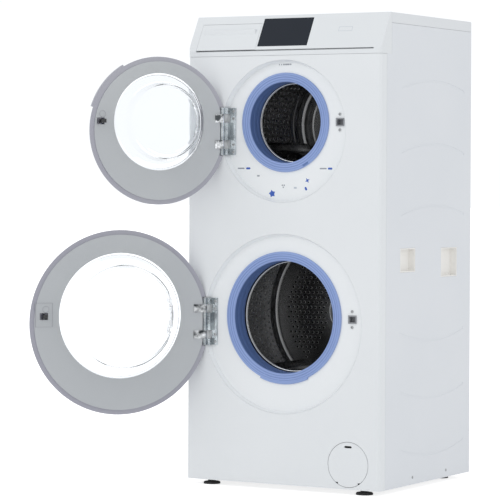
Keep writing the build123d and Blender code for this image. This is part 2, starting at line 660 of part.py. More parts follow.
for unit in units:
    pin_x = unit.pin_x
    hinge_axis = Axis((pin_x, front + pin_depth, 0), (0, 0, 1))
    edge, face, hole = unit.door_radius, unit.face_radius, unit.bowl_radius
    reach = strap_pitch / 2 + strap_height / 2
    notch_half = reach + ear_height + 3
    notch_x = pin_x + knuckle_radius + 1.5

    with BuildPart() as swing_room:
        stop_x = -unit.dish_radius + 7
        block((-half - 200, stop_x), (-1.5, 60), (unit.door_z - edge, unit.door_z + edge))
        block((stop_x - 1, -40), (unit.dish_depth - 2, 60), (unit.door_z - edge, unit.door_z + edge))
    keep_clear = [swing_room.part.rotate(hinge_axis, unit.open_angle - step) for step in (0, 15, 30, 45)]

    with BuildPart() as door_inner:
        disc(0, unit.door_z, door_face - door_plate, door_plate, face)
        disc(0, unit.drum_z, door_face - door_plate - 9, 9, hole + 9)
        disc(0, unit.drum_z, door_face - door_plate - 10, 10, hole + 7.3, mode=Mode.SUBTRACT)
        disc(0, unit.drum_z, door_face - door_plate - 1, door_plate + 2, hole, mode=Mode.SUBTRACT)
        block((-edge - 5, notch_x), (door_face - 40, door_face + 5),
              (unit.door_z - notch_half, unit.door_z + notch_half), mode=Mode.SUBTRACT)
        block((unit.strike_x - 8, unit.strike_x + 14), (door_face - 8, door_face + 1),
              (unit.drum_z - 9, unit.drum_z + 9), mode=Mode.SUBTRACT)
        for room in keep_clear:
            add(room, mode=Mode.SUBTRACT)
    save(largest(door_inner.part).rotate(hinge_axis, -unit.open_angle), f"{unit.name}_door_inner")

    back = door_face - door_plate
    crown = door_face - door_bulge
    with BuildPart() as door_cover:
        ring([(back, edge), (back - 3, edge), (back - 9, edge - 12), (crown + 5, edge - 34),
              (crown, edge - 40), (crown, 0), (crown + 4, 0), (crown + 4, edge - 42),
              (back - 12, edge - 34), (back, edge - 34)], unit.door_z)
        if unit.grip_arc:
            start, end = unit.grip_arc
            with BuildSketch(Plane.XZ.offset(-front - back + 8)) as finger_lip:
                with BuildLine():
                    outer_arc = CenterArc((0, unit.door_z), edge + grip_lip, start, end - start)
                    inner_arc = CenterArc((0, unit.door_z), edge - 10, start, end - start)
                    Line(outer_arc @ 0, inner_arc @ 0)
                    Line(outer_arc @ 1, inner_arc @ 1)
                make_face()
            extrude(finger_lip.sketch, amount=-8)
        disc(0, unit.drum_z, crown - 1, door_bulge, hole + window_rim, mode=Mode.SUBTRACT)
        block((unit.strike_x - 8, unit.strike_x + 14), (back - 9, back + 1),
              (unit.drum_z - 9, unit.drum_z + 9), mode=Mode.SUBTRACT)
        block((-edge - 5, notch_x), (crown - 5, door_face + 5),
              (unit.door_z - notch_half, unit.door_z + notch_half), mode=Mode.SUBTRACT)
        for room in keep_clear:
            add(room, mode=Mode.SUBTRACT)
    save(largest(door_cover.part).rotate(hinge_axis, -unit.open_angle), f"{unit.name}_door_cover")

    with BuildPart() as door_window:
        disc(0, unit.drum_z, crown + 0.5, 3, hole + window_rim - 0.1)
    save(door_window.part.rotate(hinge_axis, -unit.open_angle), f"{unit.name}_door_window")

    with BuildPart() as door_bowl:
        t = bowl_wall
        ring([(back, hole + 7), (back, hole - 1), (door_face + 2, hole - 2), (door_face + 8, hole - 16),
              (door_face + 13, hole - 24), (bowl_reach - 18, hole - 31), (bowl_reach - 6, hole - 38),
              (bowl_reach, hole - 48), (bowl_reach, 0), (bowl_reach - t, 0), (bowl_reach - t, hole - 50),
              (bowl_reach - 8, hole - 41), (bowl_reach - 19, hole - 34), (door_face + 11, hole - 27),
              (door_face + 5, hole - 18), (back, hole - 6), (back - t, hole - 5), (back - t, hole + 7)],
             unit.drum_z)
    save(door_bowl.part.rotate(hinge_axis, -unit.open_angle), f"{unit.name}_door_bowl")

    with BuildPart() as hinge_straps:
        for level in (-1, 1):
            z = unit.door_z + level * strap_pitch / 2 - strap_height / 2
            post(pin_x, pin_depth, z, strap_height, knuckle_radius)
            block((pin_x, pin_x + unit.strap_reach), (door_face, door_face + strap_thickness),
                  (z, z + strap_height))
            post(pin_x, pin_depth, z, strap_height, pin_radius + pin_play, mode=Mode.SUBTRACT)
    save(hinge_straps.part.rotate(hinge_axis, -unit.open_angle), f"{unit.name}_hinge_straps")

    hook_tip = unit.dish_depth + 6
    with BuildPart() as latch_hook:
        x, z = unit.strike_x, unit.drum_z
        block((x - hook_width / 2, x + hook_width / 2), (back - 5, hook_tip),
              (z - hook_height / 2, z + hook_height / 2))
        with BuildSketch(Plane.XY.offset(z - hook_height / 2)) as nose:
            with BuildLine():
                side_x = x + hook_width / 2
                Polyline((side_x - 1, front + hook_tip - 9), (side_x + 5, front + hook_tip - 8),
                         (side_x, front + hook_tip), (side_x - 1, front + hook_tip), close=True)
            make_face()
        extrude(nose.sketch, amount=hook_height)
        post(x, back - 2.5, z - hook_height / 2, hook_height, 4)
    save(latch_hook.part.rotate(hinge_axis, -unit.open_angle), f"{unit.name}_latch_hook")

with BuildPart() as hinge_bases:
    for unit in units:
        pin_x, z = unit.pin_x, unit.door_z
        floor = unit.dish_depth
        inner_end = strap_pitch / 2 - strap_height / 2 - hinge_play
        outer_end = strap_pitch / 2 + strap_height / 2 + hinge_play
        plate_x = pin_x + base_offset
        block((plate_x, plate_x + base_width), (floor - base_plate, floor),
              (z - outer_end - ear_height, z + outer_end + ear_height))
        for low, high in ((-inner_end, inner_end), (outer_end, outer_end + ear_height),
                          (-outer_end - ear_height, -outer_end)):
            post(pin_x, pin_depth, z + low, high - low, knuckle_radius)
            block((pin_x, plate_x + tab),
                  (pin_depth + knuckle_radius - tab - 0.1, pin_depth + knuckle_radius - 0.1),
                  (z + low, z + high))
            block((plate_x, plate_x + tab), (pin_depth + knuckle_radius - tab, floor), (z + low, z + high))
            post(pin_x, pin_depth, z + low, high - low, pin_radius + pin_play, mode=Mode.SUBTRACT)
save(hinge_bases.part, "hinge_bases")

with BuildPart() as hinge_pins:
    for unit in units:
        length = strap_pitch + strap_height + 2 * (hinge_play + ear_height)
        post(unit.pin_x, pin_depth, unit.door_z - length / 2 - 0.5, length + 1, pin_radius)
        post(unit.pin_x, pin_depth, unit.door_z + length / 2, 2, pin_radius + 1.2)
save(hinge_pins.part, "hinge_pins")

with BuildPart() as door_strikes:
    for unit in units:
        x, z, floor = unit.strike_x, unit.drum_z, unit.dish_depth
        block((x - 11, x + 13), (floor - strike_thickness, floor), (z - 11, z + 11))
        block((x - 12, x + 13), (floor + sheet, floor + sheet + lock_depth), (z - 20, z + 20))
        block((x - 8.5, x + 12.5), (floor, floor + sheet), (z - 8.5, z + 8.5))
        block((x - 7, x + 11), (floor - 5, floor + 11), (z - 7.5, z + 7.5), mode=Mode.SUBTRACT)
save(door_strikes.part, "door_strikes")

head_radius = 4.2
head_height = 2.2
with BuildPart() as machine_screws:
    for unit in units:
        floor = unit.dish_depth
        for dz in (-21, 21):
            disc(unit.strike_x, unit.drum_z + dz, floor - head_height, head_height, head_radius)
        for dz in (-strap_pitch * 0.78, -strap_pitch / 2, strap_pitch / 2, strap_pitch * 0.78):
            disc(unit.pin_x + base_offset + 11, unit.door_z + dz, floor - base_plate - head_height,
                 head_height, head_radius)
    for side in (-1, 1):
        for d in (194.0, 400.0):
            with BuildSketch(Plane.YZ.offset(side * half)) as screw_head:
                with Locations((front + d, 33.5)):
                    Circle(head_radius)
            extrude(screw_head.sketch, amount=side * 0.8)
    for z in (60.0, 500.0, 780.0, 1200.0):
        for x in (-half + 15, half - 15):
            disc(x, z, depth, head_height * 0.6, head_radius)
save(machine_screws.part, "machine_screws")

# ---------------------------------------------------------------- filter, pump and connections

pin_z = flap_z - flap_pin_drop
lug_x = (-22.0, 22.0)
lug_half = 4.0
lug_radius = 2.6
post_x = (-38.0, 38.0)      # the pin's posts stand outside the lower edge of the flap
post_half = 3.0
relief_x = 29.5             # the flap is narrower than this beside its pin, to pass the hole's edge
relief_z = 3.2
cup_radius = 52.0
cup_back = 56.0


def pin_rod(x, length, radius, mode=Mode.ADD):
    """A rod along the flap's hinge line, centred at x."""
    with BuildSketch(Plane.YZ.offset(x - length / 2)) as section:
        with Locations((front + flap_pin_depth, pin_z)):
            Circle(radius)
    extrude(section.sketch, amount=length, mode=mode)


with BuildPart() as filter_flap:
    disc(flap_x, flap_z, 0, flap_thickness, flap_radius)
    with BuildSketch(Plane.XZ.offset(-front + 1)) as finger_slot:
        with Locations((flap_x, flap_z + 47)):
            SlotOverall(22, 5.5)
    extrude(finger_slot.sketch, amount=-flap_thickness - 2, mode=Mode.SUBTRACT)
    for side in (-1, 1):
        block(sorted((flap_x + side * relief_x, flap_x + side * flap_radius)), (-1, flap_thickness + 1),
              (pin_z - 10, pin_z + relief_z), mode=Mode.SUBTRACT)
    pin_rod(flap_x, 2 * flap_radius, flap_pin_radius + 0.6, mode=Mode.SUBTRACT)
    for dx in lug_x:
        x = flap_x + dx
        block((x - lug_half, x + lug_half), (flap_thickness / 2, flap_pin_depth),
              (pin_z - lug_radius, pin_z + lug_radius))
        pin_rod(x, 2 * lug_half, lug_radius)
        pin_rod(x, 2 * lug_half + 0.1, flap_pin_radius + pin_play, mode=Mode.SUBTRACT)
save(filter_flap.part, "filter_flap")

with BuildPart() as filter_housing:
    ring([(14, cup_radius), (14, cup_radius - 3), (cup_back - 3, cup_radius - 3),
          (cup_back - 3, filter_cap_radius + 0.5), (cup_back + 14, filter_cap_radius + 0.5),
          (cup_back + 14, filter_cap_radius + 3.5), (cup_back, filter_cap_radius + 3.5),
          (cup_back, cup_radius)], flap_z, flap_x)
    for dx in post_x:
        x = flap_x + dx
        block((x - post_half, x + post_half), (flap_pin_depth - flap_pin_radius, 20),
              (pin_z - 2.4, pin_z + 2.4))
    block((flap_x + post_x[0] - post_half, flap_x + post_x[1] + post_half), (16, 20),
          (pin_z - 2.4, pin_z + 12))
    pin_rod(flap_x, post_x[1] - post_x[0] + 2 * post_half, flap_pin_radius)
    disc(flap_x, flap_z, 13, cup_back - 16, cup_radius - 3, mode=Mode.SUBTRACT)
save(filter_housing.part, "filter_housing")

with BuildPart() as filter_cap:
    disc(flap_x, flap_z, cup_back - filter_cap_depth, filter_cap_depth + 12, filter_cap_radius)
    with BuildSketch(Plane.XZ.offset(-front - cup_back + filter_cap_depth)) as pockets:
        with Locations((flap_x, flap_z)):
            Circle(filter_cap_radius - 4)
            with Locations((0, 0)):
                SlotOverall(2 * filter_cap_radius - 6, 8, mode=Mode.SUBTRACT)
    extrude(pockets.sketch, amount=-14, mode=Mode.SUBTRACT)
save(filter_cap.part, "filter_cap")

with BuildPart() as drain_pump:
    disc(flap_x, flap_z, cup_back + 14, 74, filter_cap_radius + 6)
    disc(flap_x, flap_z, cup_back + 13, 60, filter_cap_radius, mode=Mode.SUBTRACT)
    disc(flap_x, flap_z, cup_back + 88, 50, 24)
    post(flap_x - 20, cup_back + 44, flap_z + 24, 46, 12)
save(drain_pump.part, "drain_pump")

with BuildPart() as inlet_valves:
    for x in valve_x:
        disc(x, valve_z, back_depth - 34, 33, 17)
        disc(x, valve_z, back_depth - 2, depth - back_depth + 2, valve_radius + step)
        disc(x, valve_z, depth, valve_spout, valve_radius)
        disc(x, valve_z, depth - 14, 40, 8, mode=Mode.SUBTRACT)
        block((x - 12, x + 12), (back_depth - 30, back_depth - 6), (valve_z + 14, valve_z + 46))
    block((valve_x[0] - 20, valve_x[1] + 20), (back_depth - 6, back_depth - 1),
          (valve_z - 22, valve_z + 22))
    for x in valve_x:
        disc(x, valve_z, depth - 14, 40, 8, mode=Mode.SUBTRACT)
save(inlet_valves.part, "inlet_valves")

with BuildPart() as hose_spigot:
    disc(spigot_x, spigot_z, back_depth - 6, 5.5, spigot_radius + 8)
    disc(spigot_x, spigot_z, back_depth - 1, depth - back_depth + 1, spigot_radius + step)
    disc(spigot_x, spigot_z, depth, spigot_length, spigot_radius)
    disc(spigot_x, spigot_z, back_depth - 7, spigot_length + 20, spigot_radius - 2.5, mode=Mode.SUBTRACT)
save(hose_spigot.part, "hose_spigot")

with BuildPart() as mains_gland:
    disc(gland_x, gland_z, back_depth - 5, 5, gland_radius + 5)
    disc(gland_x, gland_z, back_depth - 1, 12, gland_radius)
    disc(gland_x, gland_z, back_depth - 6, 40, 4.2, mode=Mode.SUBTRACT)
save(mains_gland.part, "mains_gland")

duct_x = (197.0, 286.0)
duct_z = (688.0, shelf_z - 6)
with BuildPart() as dryer_duct:
    block(duct_x, (tub_split + 60, tub_back), duct_z)
    block((duct_x[0] + 2, duct_x[1] - 2), (tub_split + 62, tub_back + 1), (duct_z[0] + 2, duct_z[1] - 2),
          mode=Mode.SUBTRACT)
    disc(sum(duct_x) / 2, sum(duct_z) / 2, tub_back, 50, 36)
save(dryer_duct.part, "dryer_duct")

for number, (x, d) in enumerate(feet_places):
    side_name = "left" if x < 0 else "right"
    end_name = "front" if d == foot_front else "back"
    with BuildPart() as foot:
        post(x, d, 0, 6, foot_radius)
        chamfer(foot.faces().sort_by(Axis.Z)[-1].edges(), length=2)
        post(x, d, 6, 4, 11)
        post(x, d, 10, stud_top - 10, stud_radius)
    save(foot.part, f"{end_name}_{side_name}_foot")
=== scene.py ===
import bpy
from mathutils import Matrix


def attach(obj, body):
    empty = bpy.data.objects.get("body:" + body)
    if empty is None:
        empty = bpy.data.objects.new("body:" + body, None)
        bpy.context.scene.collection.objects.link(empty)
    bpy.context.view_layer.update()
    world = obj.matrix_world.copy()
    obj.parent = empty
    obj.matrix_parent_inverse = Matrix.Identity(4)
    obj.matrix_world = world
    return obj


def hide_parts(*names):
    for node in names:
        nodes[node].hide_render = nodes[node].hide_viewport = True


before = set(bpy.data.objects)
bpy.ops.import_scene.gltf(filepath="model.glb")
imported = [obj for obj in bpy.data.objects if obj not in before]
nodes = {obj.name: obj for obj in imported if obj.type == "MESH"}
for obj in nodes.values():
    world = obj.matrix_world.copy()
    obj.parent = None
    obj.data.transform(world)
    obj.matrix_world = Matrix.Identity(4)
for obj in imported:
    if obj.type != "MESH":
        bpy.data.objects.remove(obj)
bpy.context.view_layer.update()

import math

import bmesh
import bpy
from mathutils import Matrix, Vector

mm = 0.001
front = -0.275  # the flat front panel; depths run backwards from it
print("frame loaded:", len(nodes), "pieces")


# the two units, upper and lower, in millimetres
units = {
    "upper": dict(drumZ=988, doorZ=964, floor=16, bead=134, mouth=108.5, drum=166,
                  bowl=130.8, pinX=-185, angle=125.4, strikeX=166, lifterAngle=90, lifterRise=42),
    "lower": dict(drumZ=464, doorZ=446, floor=12, bead=176.5, mouth=151, drum=248,
                  bowl=169.7, pinX=-237.5, angle=132.8, strikeX=208, lifterAngle=235, lifterRise=70),
}
drumRun = dict(front=70, back=396, wall=1.2, corner=14)


def swing(unit):  # a piece built on the closed door goes to where the open door is
    pin = Vector((unit["pinX"] * mm, front - 5.6 * mm, 0))
    turn = Matrix.Rotation(-math.radians(unit["angle"]), 4, "Z")
    return Matrix.Translation(pin) @ turn @ Matrix.Translation(-pin)


# shader groups

def addNode(tree, kind, inputs=None, **settings):
    node = tree.nodes.new(kind)
    for key, value in settings.items():
        setattr(node, key, value)
    for key, value in (inputs or {}).items():
        if isinstance(value, bpy.types.NodeSocket):
            tree.links.new(value, node.inputs[key])
        else:
            node.inputs[key].default_value = value
    return node


def shaderGroup(name, inputs, outputs):
    group = bpy.data.node_groups.new(name, "ShaderNodeTree")
    for label, kind, value in inputs:
        socket = group.interface.new_socket(name=label, in_out="INPUT", socket_type=kind)
        if value is not None:
            socket.default_value = value
    for label, kind in outputs:
        group.interface.new_socket(name=label, in_out="OUTPUT", socket_type=kind)
    return group, group.nodes.new("NodeGroupInput"), group.nodes.new("NodeGroupOutput")


def makeMoulded():  # fine moulded or sprayed texture: a height and a slow drift of tone; on the chrome straps a fast, dark drift is painted reflection
    group, given, result = shaderGroup(
        "mouldedTexture",
        [("Vector", "NodeSocketVector", None), ("Grain", "NodeSocketFloat", 900.0),
         ("Drift", "NodeSocketFloat", 3.0)],
        [("Height", "NodeSocketFloat"), ("Tone", "NodeSocketFloat")])
    fine = addNode(group, "ShaderNodeTexNoise",
                   {"Vector": given.outputs["Vector"], "Scale": given.outputs["Grain"], "Detail": 2.0})
    slow = addNode(group, "ShaderNodeTexNoise",
                   {"Vector": given.outputs["Vector"], "Scale": given.outputs["Drift"], "Detail": 3.0})
    group.links.new(fine.outputs["Fac"], result.inputs["Height"])
    group.links.new(slow.outputs["Fac"], result.inputs["Tone"])
    return group


def makeSmudges():  # wiped marks that shift the gloss
    group, given, result = shaderGroup(
        "wipedSmudges",
        [("Vector", "NodeSocketVector", None), ("Scale", "NodeSocketFloat", 9.0),
         ("Low", "NodeSocketFloat", 0.3), ("High", "NodeSocketFloat", 0.45)],
        [("Gloss", "NodeSocketFloat")])
    noise = addNode(group, "ShaderNodeTexNoise",
                    {"Vector": given.outputs["Vector"], "Scale": given.outputs["Scale"], "Detail": 5.0,
                     "Distortion": 0.6})
    span = addNode(group, "ShaderNodeMapRange",
                   {"Value": noise.outputs["Fac"], "From Min": 0.3, "From Max": 0.7,
                    "To Min": given.outputs["Low"], "To Max": given.outputs["High"]})
    group.links.new(span.outputs["Result"], result.inputs["Gloss"])
    return group


def makeDust():  # a little grey on surfaces that face up
    group, given, result = shaderGroup(
        "settledDust",
        [("Colour", "NodeSocketColor", None), ("Vector", "NodeSocketVector", None),
         ("Amount", "NodeSocketFloat", 0.1)],
        [("Colour", "NodeSocketColor")])
    geometry = addNode(group, "ShaderNodeNewGeometry")
    axes = addNode(group, "ShaderNodeSeparateXYZ", {"Vector": geometry.outputs["Normal"]})
    upward = addNode(group, "ShaderNodeMapRange",
                     {"Value": axes.outputs["Z"], "From Min": 0.6, "From Max": 1.0})
    patches = addNode(group, "ShaderNodeTexNoise",
                      {"Vector": given.outputs["Vector"], "Scale": 14.0, "Detail": 6.0})
    both = addNode(group, "ShaderNodeMath", {0: upward.outputs["Result"], 1: patches.outputs["Fac"]},
                   operation="MULTIPLY")
    amount = addNode(group, "ShaderNodeMath", {0: both.outputs[0], 1: given.outputs["Amount"]},
                     operation="MULTIPLY")
    mixed = addNode(group, "ShaderNodeMix",
                    {"Factor": amount.outputs[0], "A": given.outputs["Colour"],
                     "B": (0.42, 0.40, 0.37, 1)}, data_type="RGBA")
    group.links.new(mixed.outputs["Result"], result.inputs["Colour"])
    return group


def makeBrushed():  # fine lines drawn out along Y, as on rolled or brushed metal
    group, given, result = shaderGroup(
        "brushedLines",
        [("Vector", "NodeSocketVector", None), ("Along", "NodeSocketVector", (600.0, 12.0, 600.0))],
        [("Lines", "NodeSocketFloat")])
    stretched = addNode(group, "ShaderNodeVectorMath",
                        {0: given.outputs["Vector"], 1: given.outputs["Along"]}, operation="MULTIPLY")
    noise = addNode(group, "ShaderNodeTexNoise",
                    {"Vector": stretched.outputs[0], "Scale": 1.0, "Detail": 3.0})
    group.links.new(noise.outputs["Fac"], result.inputs["Lines"])
    return group


mouldedGroup, smudgeGroup = makeMoulded(), makeSmudges()
dustGroup, brushedGroup = makeDust(), makeBrushed()

# colours are linear; tone is the far end of the slow drift, gloss the span of the roughness
finishes = {
    "frontEnamel": dict(colour=(0.83, 0.852, 0.87), tone=(0.815, 0.838, 0.857), gloss=(0.30, 0.36),
                        grain=700, bump=0.02, dust=0.10, coat=0.2),
    "sideEnamel": dict(colour=(0.79, 0.812, 0.845), tone=(0.77, 0.795, 0.83), gloss=(0.38, 0.46),
                       grain=420, bump=0.05, dust=0.10, coat=0.1),
    "surroundWhite": dict(colour=(0.88, 0.90, 0.915), tone=(0.865, 0.888, 0.905), gloss=(0.28, 0.33),
                          grain=900, bump=0.015, dust=0.05, coat=0.2),
    "fasciaWhite": dict(colour=(0.81, 0.832, 0.85), tone=(0.79, 0.815, 0.835), gloss=(0.28, 0.35),
                        grain=900, bump=0.02, dust=0.10, coat=0.2),
    "laminateWhite": dict(colour=(0.80, 0.82, 0.84), tone=(0.775, 0.80, 0.825), gloss=(0.40, 0.5),
                          grain=320, bump=0.06, dust=0.25),
    "gripWarm": dict(colour=(0.93, 0.915, 0.885), tone=(0.90, 0.885, 0.855), gloss=(0.42, 0.55),
                     grain=600, bump=0.05, dust=0.15),
    "displayGloss": dict(colour=(0.012, 0.016, 0.025), tone=(0.016, 0.021, 0.031), gloss=(0.08, 0.14),
                         grain=300, bump=0.0, specular=0.28),
    "gasketBlue": dict(colour=(0.285, 0.39, 0.70), tone=(0.255, 0.355, 0.65), gloss=(0.38, 0.48),
                       grain=500, bump=0.05, dust=0.06),
    # painted shade in the grooves of the bellows
    "gasketGrooveShade": dict(colour=(0.20, 0.285, 0.56), tone=(0.18, 0.26, 0.52), gloss=(0.45, 0.55),
                         grain=500, bump=0.05),
    # painted shade for the deep throat of the bellows; the same dark blue is the gasket clip's own
    # colour
    "gasketNavyAndThroatShade": dict(colour=(0.12, 0.20, 0.44), tone=(0.10, 0.17, 0.39), gloss=(0.4, 0.55), grain=500,
                       bump=0.05),
    "drumSteel": dict(colour=(0.34, 0.34, 0.34), tone=(0.27, 0.27, 0.27), gloss=(0.20, 0.30), metal=1.0,
                      brushed=(60.0, 900.0, 60.0), bump=0.04),
    "rimSteel": dict(colour=(0.90, 0.90, 0.90), tone=(0.8, 0.8, 0.8), gloss=(0.22, 0.32), metal=0.35,
                     grain=500, bump=0.02),
    # painted reflections: the chrome straps drift quickly between bright and near-black tone, standing
    # in for mirrored surroundings
    "strapChromePaintedReflection": dict(colour=(0.86, 0.88, 0.90), tone=(0.05, 0.055, 0.06), gloss=(0.08, 0.16),
                        metal=1.0, grain=300, bump=0.01, drift=70.0),
    "latchGrey": dict(colour=(0.42, 0.43, 0.46), tone=(0.38, 0.39, 0.42), gloss=(0.3, 0.4), grain=800,
                      bump=0.03),
    # painted shade: black for the open holes in the drums and for the cross slots of the screws
    "holeShadeBlack": dict(colour=(0.006, 0.006, 0.006), tone=(0.010, 0.010, 0.010), gloss=(0.5, 0.7),
                      grain=400, bump=0.02),
    "brightChrome": dict(colour=(0.80, 0.82, 0.84), tone=(0.70, 0.72, 0.75), gloss=(0.07, 0.16),
                         metal=1.0, grain=300, bump=0.01),
    "hingeCast": dict(colour=(0.62, 0.66, 0.68), tone=(0.36, 0.39, 0.41), gloss=(0.16, 0.28), metal=1.0,
                      grain=350, bump=0.05, drift=30.0),
    "doorGrey": dict(colour=(0.53, 0.55, 0.565), tone=(0.50, 0.52, 0.54), gloss=(0.36, 0.44), grain=800,
                     bump=0.04, dust=0.1),
    "doorSilver": dict(colour=(0.40, 0.40, 0.45), tone=(0.37, 0.37, 0.43), gloss=(0.2, 0.28), grain=900,
                       bump=0.02, coat=0.4),
    "blackPlastic": dict(colour=(0.020, 0.021, 0.023), tone=(0.030, 0.031, 0.033), gloss=(0.35, 0.5),
                         grain=500, bump=0.06, dust=0.2),
    "strikeGrey": dict(colour=(0.30, 0.31, 0.33), tone=(0.25, 0.26, 0.28), gloss=(0.35, 0.5), grain=500,
                       bump=0.05),
    "zincSteel": dict(colour=(0.52, 0.53, 0.54), tone=(0.42, 0.43, 0.44), gloss=(0.28, 0.42), metal=1.0,
                      brushed=(200.0, 200.0, 900.0), bump=0.04, dust=0.1),
    "tubGrey": dict(colour=(0.46, 0.47, 0.48), tone=(0.40, 0.41, 0.42), gloss=(0.5, 0.65), grain=260,
                    bump=0.15, dust=0.4),
    "castConcrete": dict(colour=(0.40, 0.39, 0.37), tone=(0.30, 0.29, 0.28), gloss=(0.8, 0.95),
                         grain=160, bump=0.5),
    "greenBoard": dict(colour=(0.02, 0.12, 0.05), tone=(0.03, 0.16, 0.07), gloss=(0.3, 0.4), grain=600,
                       bump=0.05),
    "copperWire": dict(colour=(0.62, 0.26, 0.12), tone=(0.50, 0.20, 0.09), gloss=(0.3, 0.45), metal=1.0,
                       brushed=(900.0, 60.0, 900.0), bump=0.2),
    "footRubber": dict(colour=(0.022, 0.022, 0.024), tone=(0.034, 0.034, 0.036), gloss=(0.55, 0.75),
                       grain=500, bump=0.15, dust=0.5),
    "markGrey": dict(colour=(0.30, 0.32, 0.36), tone=(0.34, 0.36, 0.40), gloss=(0.4, 0.5), grain=600,
                     bump=0.0),
    "markBlue": dict(colour=(0.03, 0.10, 0.46), tone=(0.05, 0.14, 0.52), gloss=(0.4, 0.5), grain=600,
                     bump=0.0),
    "markPale": dict(colour=(0.52, 0.56, 0.62), tone=(0.56, 0.60, 0.66), gloss=(0.4, 0.5), grain=600,
                     bump=0.0),
}


def makeFinish(name, colour, tone, gloss, grain=500, bump=0.05, dust=0.0, coat=0.0, metal=0.0,
               brushed=None, drift=3.0, specular=0.5):
    material = bpy.data.materials.new(name)
    material.use_nodes = True
    tree = material.node_tree
    tree.nodes.clear()
    place = addNode(tree, "ShaderNodeTexCoord").outputs["Object"]
    moulded = addNode(tree, "ShaderNodeGroup", node_tree=mouldedGroup)
    tree.links.new(place, moulded.inputs["Vector"])
    moulded.inputs["Grain"].default_value = grain
    moulded.inputs["Drift"].default_value = drift
    patches = addNode(tree, "ShaderNodeMapRange",
                      {"Value": moulded.outputs["Tone"], "From Min": 0.35, "From Max": 0.65})
    base = addNode(tree, "ShaderNodeMix",
                   {"Factor": patches.outputs["Result"], "A": (*colour, 1), "B": (*tone, 1)},
                   data_type="RGBA")
    painted = base.outputs["Result"]
    if dust:
        settled = addNode(tree, "ShaderNodeGroup", node_tree=dustGroup)
        tree.links.new(painted, settled.inputs["Colour"])
        tree.links.new(place, settled.inputs["Vector"])
        settled.inputs["Amount"].default_value = dust
        painted = settled.outputs["Colour"]
    smudged = addNode(tree, "ShaderNodeGroup", node_tree=smudgeGroup)
    tree.links.new(place, smudged.inputs["Vector"])
    smudged.inputs["Low"].default_value, smudged.inputs["High"].default_value = gloss
    shader = addNode(tree, "ShaderNodeBsdfPrincipled",
                     {"Base Color": painted, "Roughness": smudged.outputs["Gloss"], "Metallic": metal,
                      "Coat Weight": coat, "Coat Roughness": 0.12,
                      "Specular IOR Level": specular})
    height = moulded.outputs["Height"]
    if brushed:
        lines = addNode(tree, "ShaderNodeGroup", node_tree=brushedGroup)
        tree.links.new(place, lines.inputs["Vector"])
        lines.inputs["Along"].default_value = brushed
        height = lines.outputs["Lines"]
    if bump:
        relief = addNode(tree, "ShaderNodeBump",
                         {"Height": height, "Strength": bump, "Distance": 0.0006})
        tree.links.new(relief.outputs["Normal"], shader.inputs["Normal"])
    output = addNode(tree, "ShaderNodeOutputMaterial")
    tree.links.new(shader.outputs[0], output.inputs["Surface"])
    return material


def makeGlass(name, tint, rough):
    material = bpy.data.materials.new(name)
    material.use_nodes = True
    tree = material.node_tree
    tree.nodes.clear()
    place = addNode(tree, "ShaderNodeTexCoord").outputs["Object"]
    ripple = addNode(tree, "ShaderNodeTexNoise", {"Vector": place, "Scale": 24.0, "Detail": 1.0})
    relief = addNode(tree, "ShaderNodeBump",
                     {"Height": ripple.outputs["Fac"], "Strength": 0.04, "Distance": 0.001})
    shader = addNode(tree, "ShaderNodeBsdfPrincipled",
                     {"Base Color": (*tint, 1), "Roughness": rough, "IOR": 1.12,
                      "Transmission Weight": 1.0, "Normal": relief.outputs["Normal"]})
    output = addNode(tree, "ShaderNodeOutputMaterial")
    tree.links.new(shader.outputs[0], output.inputs["Surface"])
    return material


finish = {name: makeFinish(name, **values) for name, values in finishes.items()}
finish["clearGlass"] = makeGlass("clearGlass", (0.97, 0.98, 0.99), 0.02)
print("finishes made:", len(finish))

nodeFinish = {
    "front_panel": "frontEnamel", "left_side_panel": "sideEnamel", "right_side_panel": "sideEnamel",
    "upper_surround": "surroundWhite", "lower_surround": "surroundWhite",
    "control_fascia": "fasciaWhite",
    "dispenser_drawer": "fasciaWhite", "top_lid": "laminateWhite", "carry_grips": "gripWarm",
    "touch_display": "displayGloss",
    "back_panel": "zincSteel", "cross_members": "zincSteel", "dryer_duct": "zincSteel",
    "base_frame": "tubGrey",
    "dispenser_housing": "tubGrey", "tub_fronts": "tubGrey", "tub_rears": "tubGrey",
    "control_board": "greenBoard",
    "counterweights": "castConcrete", "suspension_springs": "zincSteel",
    "suspension_dampers": "blackPlastic",
    "motor_stators": "copperWire", "drum_bearings": "zincSteel", "hinge_bases": "hingeCast",
    "hinge_pins": "zincSteel",
    "door_strikes": "strikeGrey", "filter_flap": "frontEnamel", "filter_housing": "blackPlastic",
    "filter_cap": "blackPlastic",
    "drain_pump": "blackPlastic", "inlet_valves": "blackPlastic", "hose_spigot": "blackPlastic",
    "mains_gland": "blackPlastic",
    "front_left_foot": "footRubber", "front_right_foot": "footRubber", "back_left_foot": "footRubber",
    "back_right_foot": "footRubber",
}
for unitName in units:
    nodeFinish.update({
        f"{unitName}_drum_shaft": "zincSteel", f"{unitName}_rotor": "zincSteel",
        f"{unitName}_door_inner": "doorGrey",
        f"{unitName}_door_cover": "doorSilver", f"{unitName}_door_window": "clearGlass",
        f"{unitName}_hinge_straps": "strapChromePaintedReflection",
        f"{unitName}_latch_hook": "blackPlastic"})
for nodeName, finishName in nodeFinish.items():
    nodes[nodeName].data.materials.clear()
    nodes[nodeName].data.materials.append(finish[finishName])


# mesh tools

def finishMesh(name, build, body, stands=(), sharp=40, place=None):
    build.normal_update()
    mesh = bpy.data.meshes.new(name)
    build.to_mesh(mesh)
    build.free()
    if place is not None:
        mesh.transform(place)
    mesh.polygons.foreach_set("use_smooth", [True] * len(mesh.polygons))
    mesh.set_sharp_from_angle(angle=math.radians(sharp))
    piece = bpy.data.objects.new(name, mesh)
    bpy.context.scene.collection.objects.link(piece)
    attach(piece, body)
    if stands:
        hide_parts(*stands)
    return piece


def paint(piece, *finishNames):
    for finishName in finishNames:
        piece.data.materials.append(finish[finishName])
    return piece


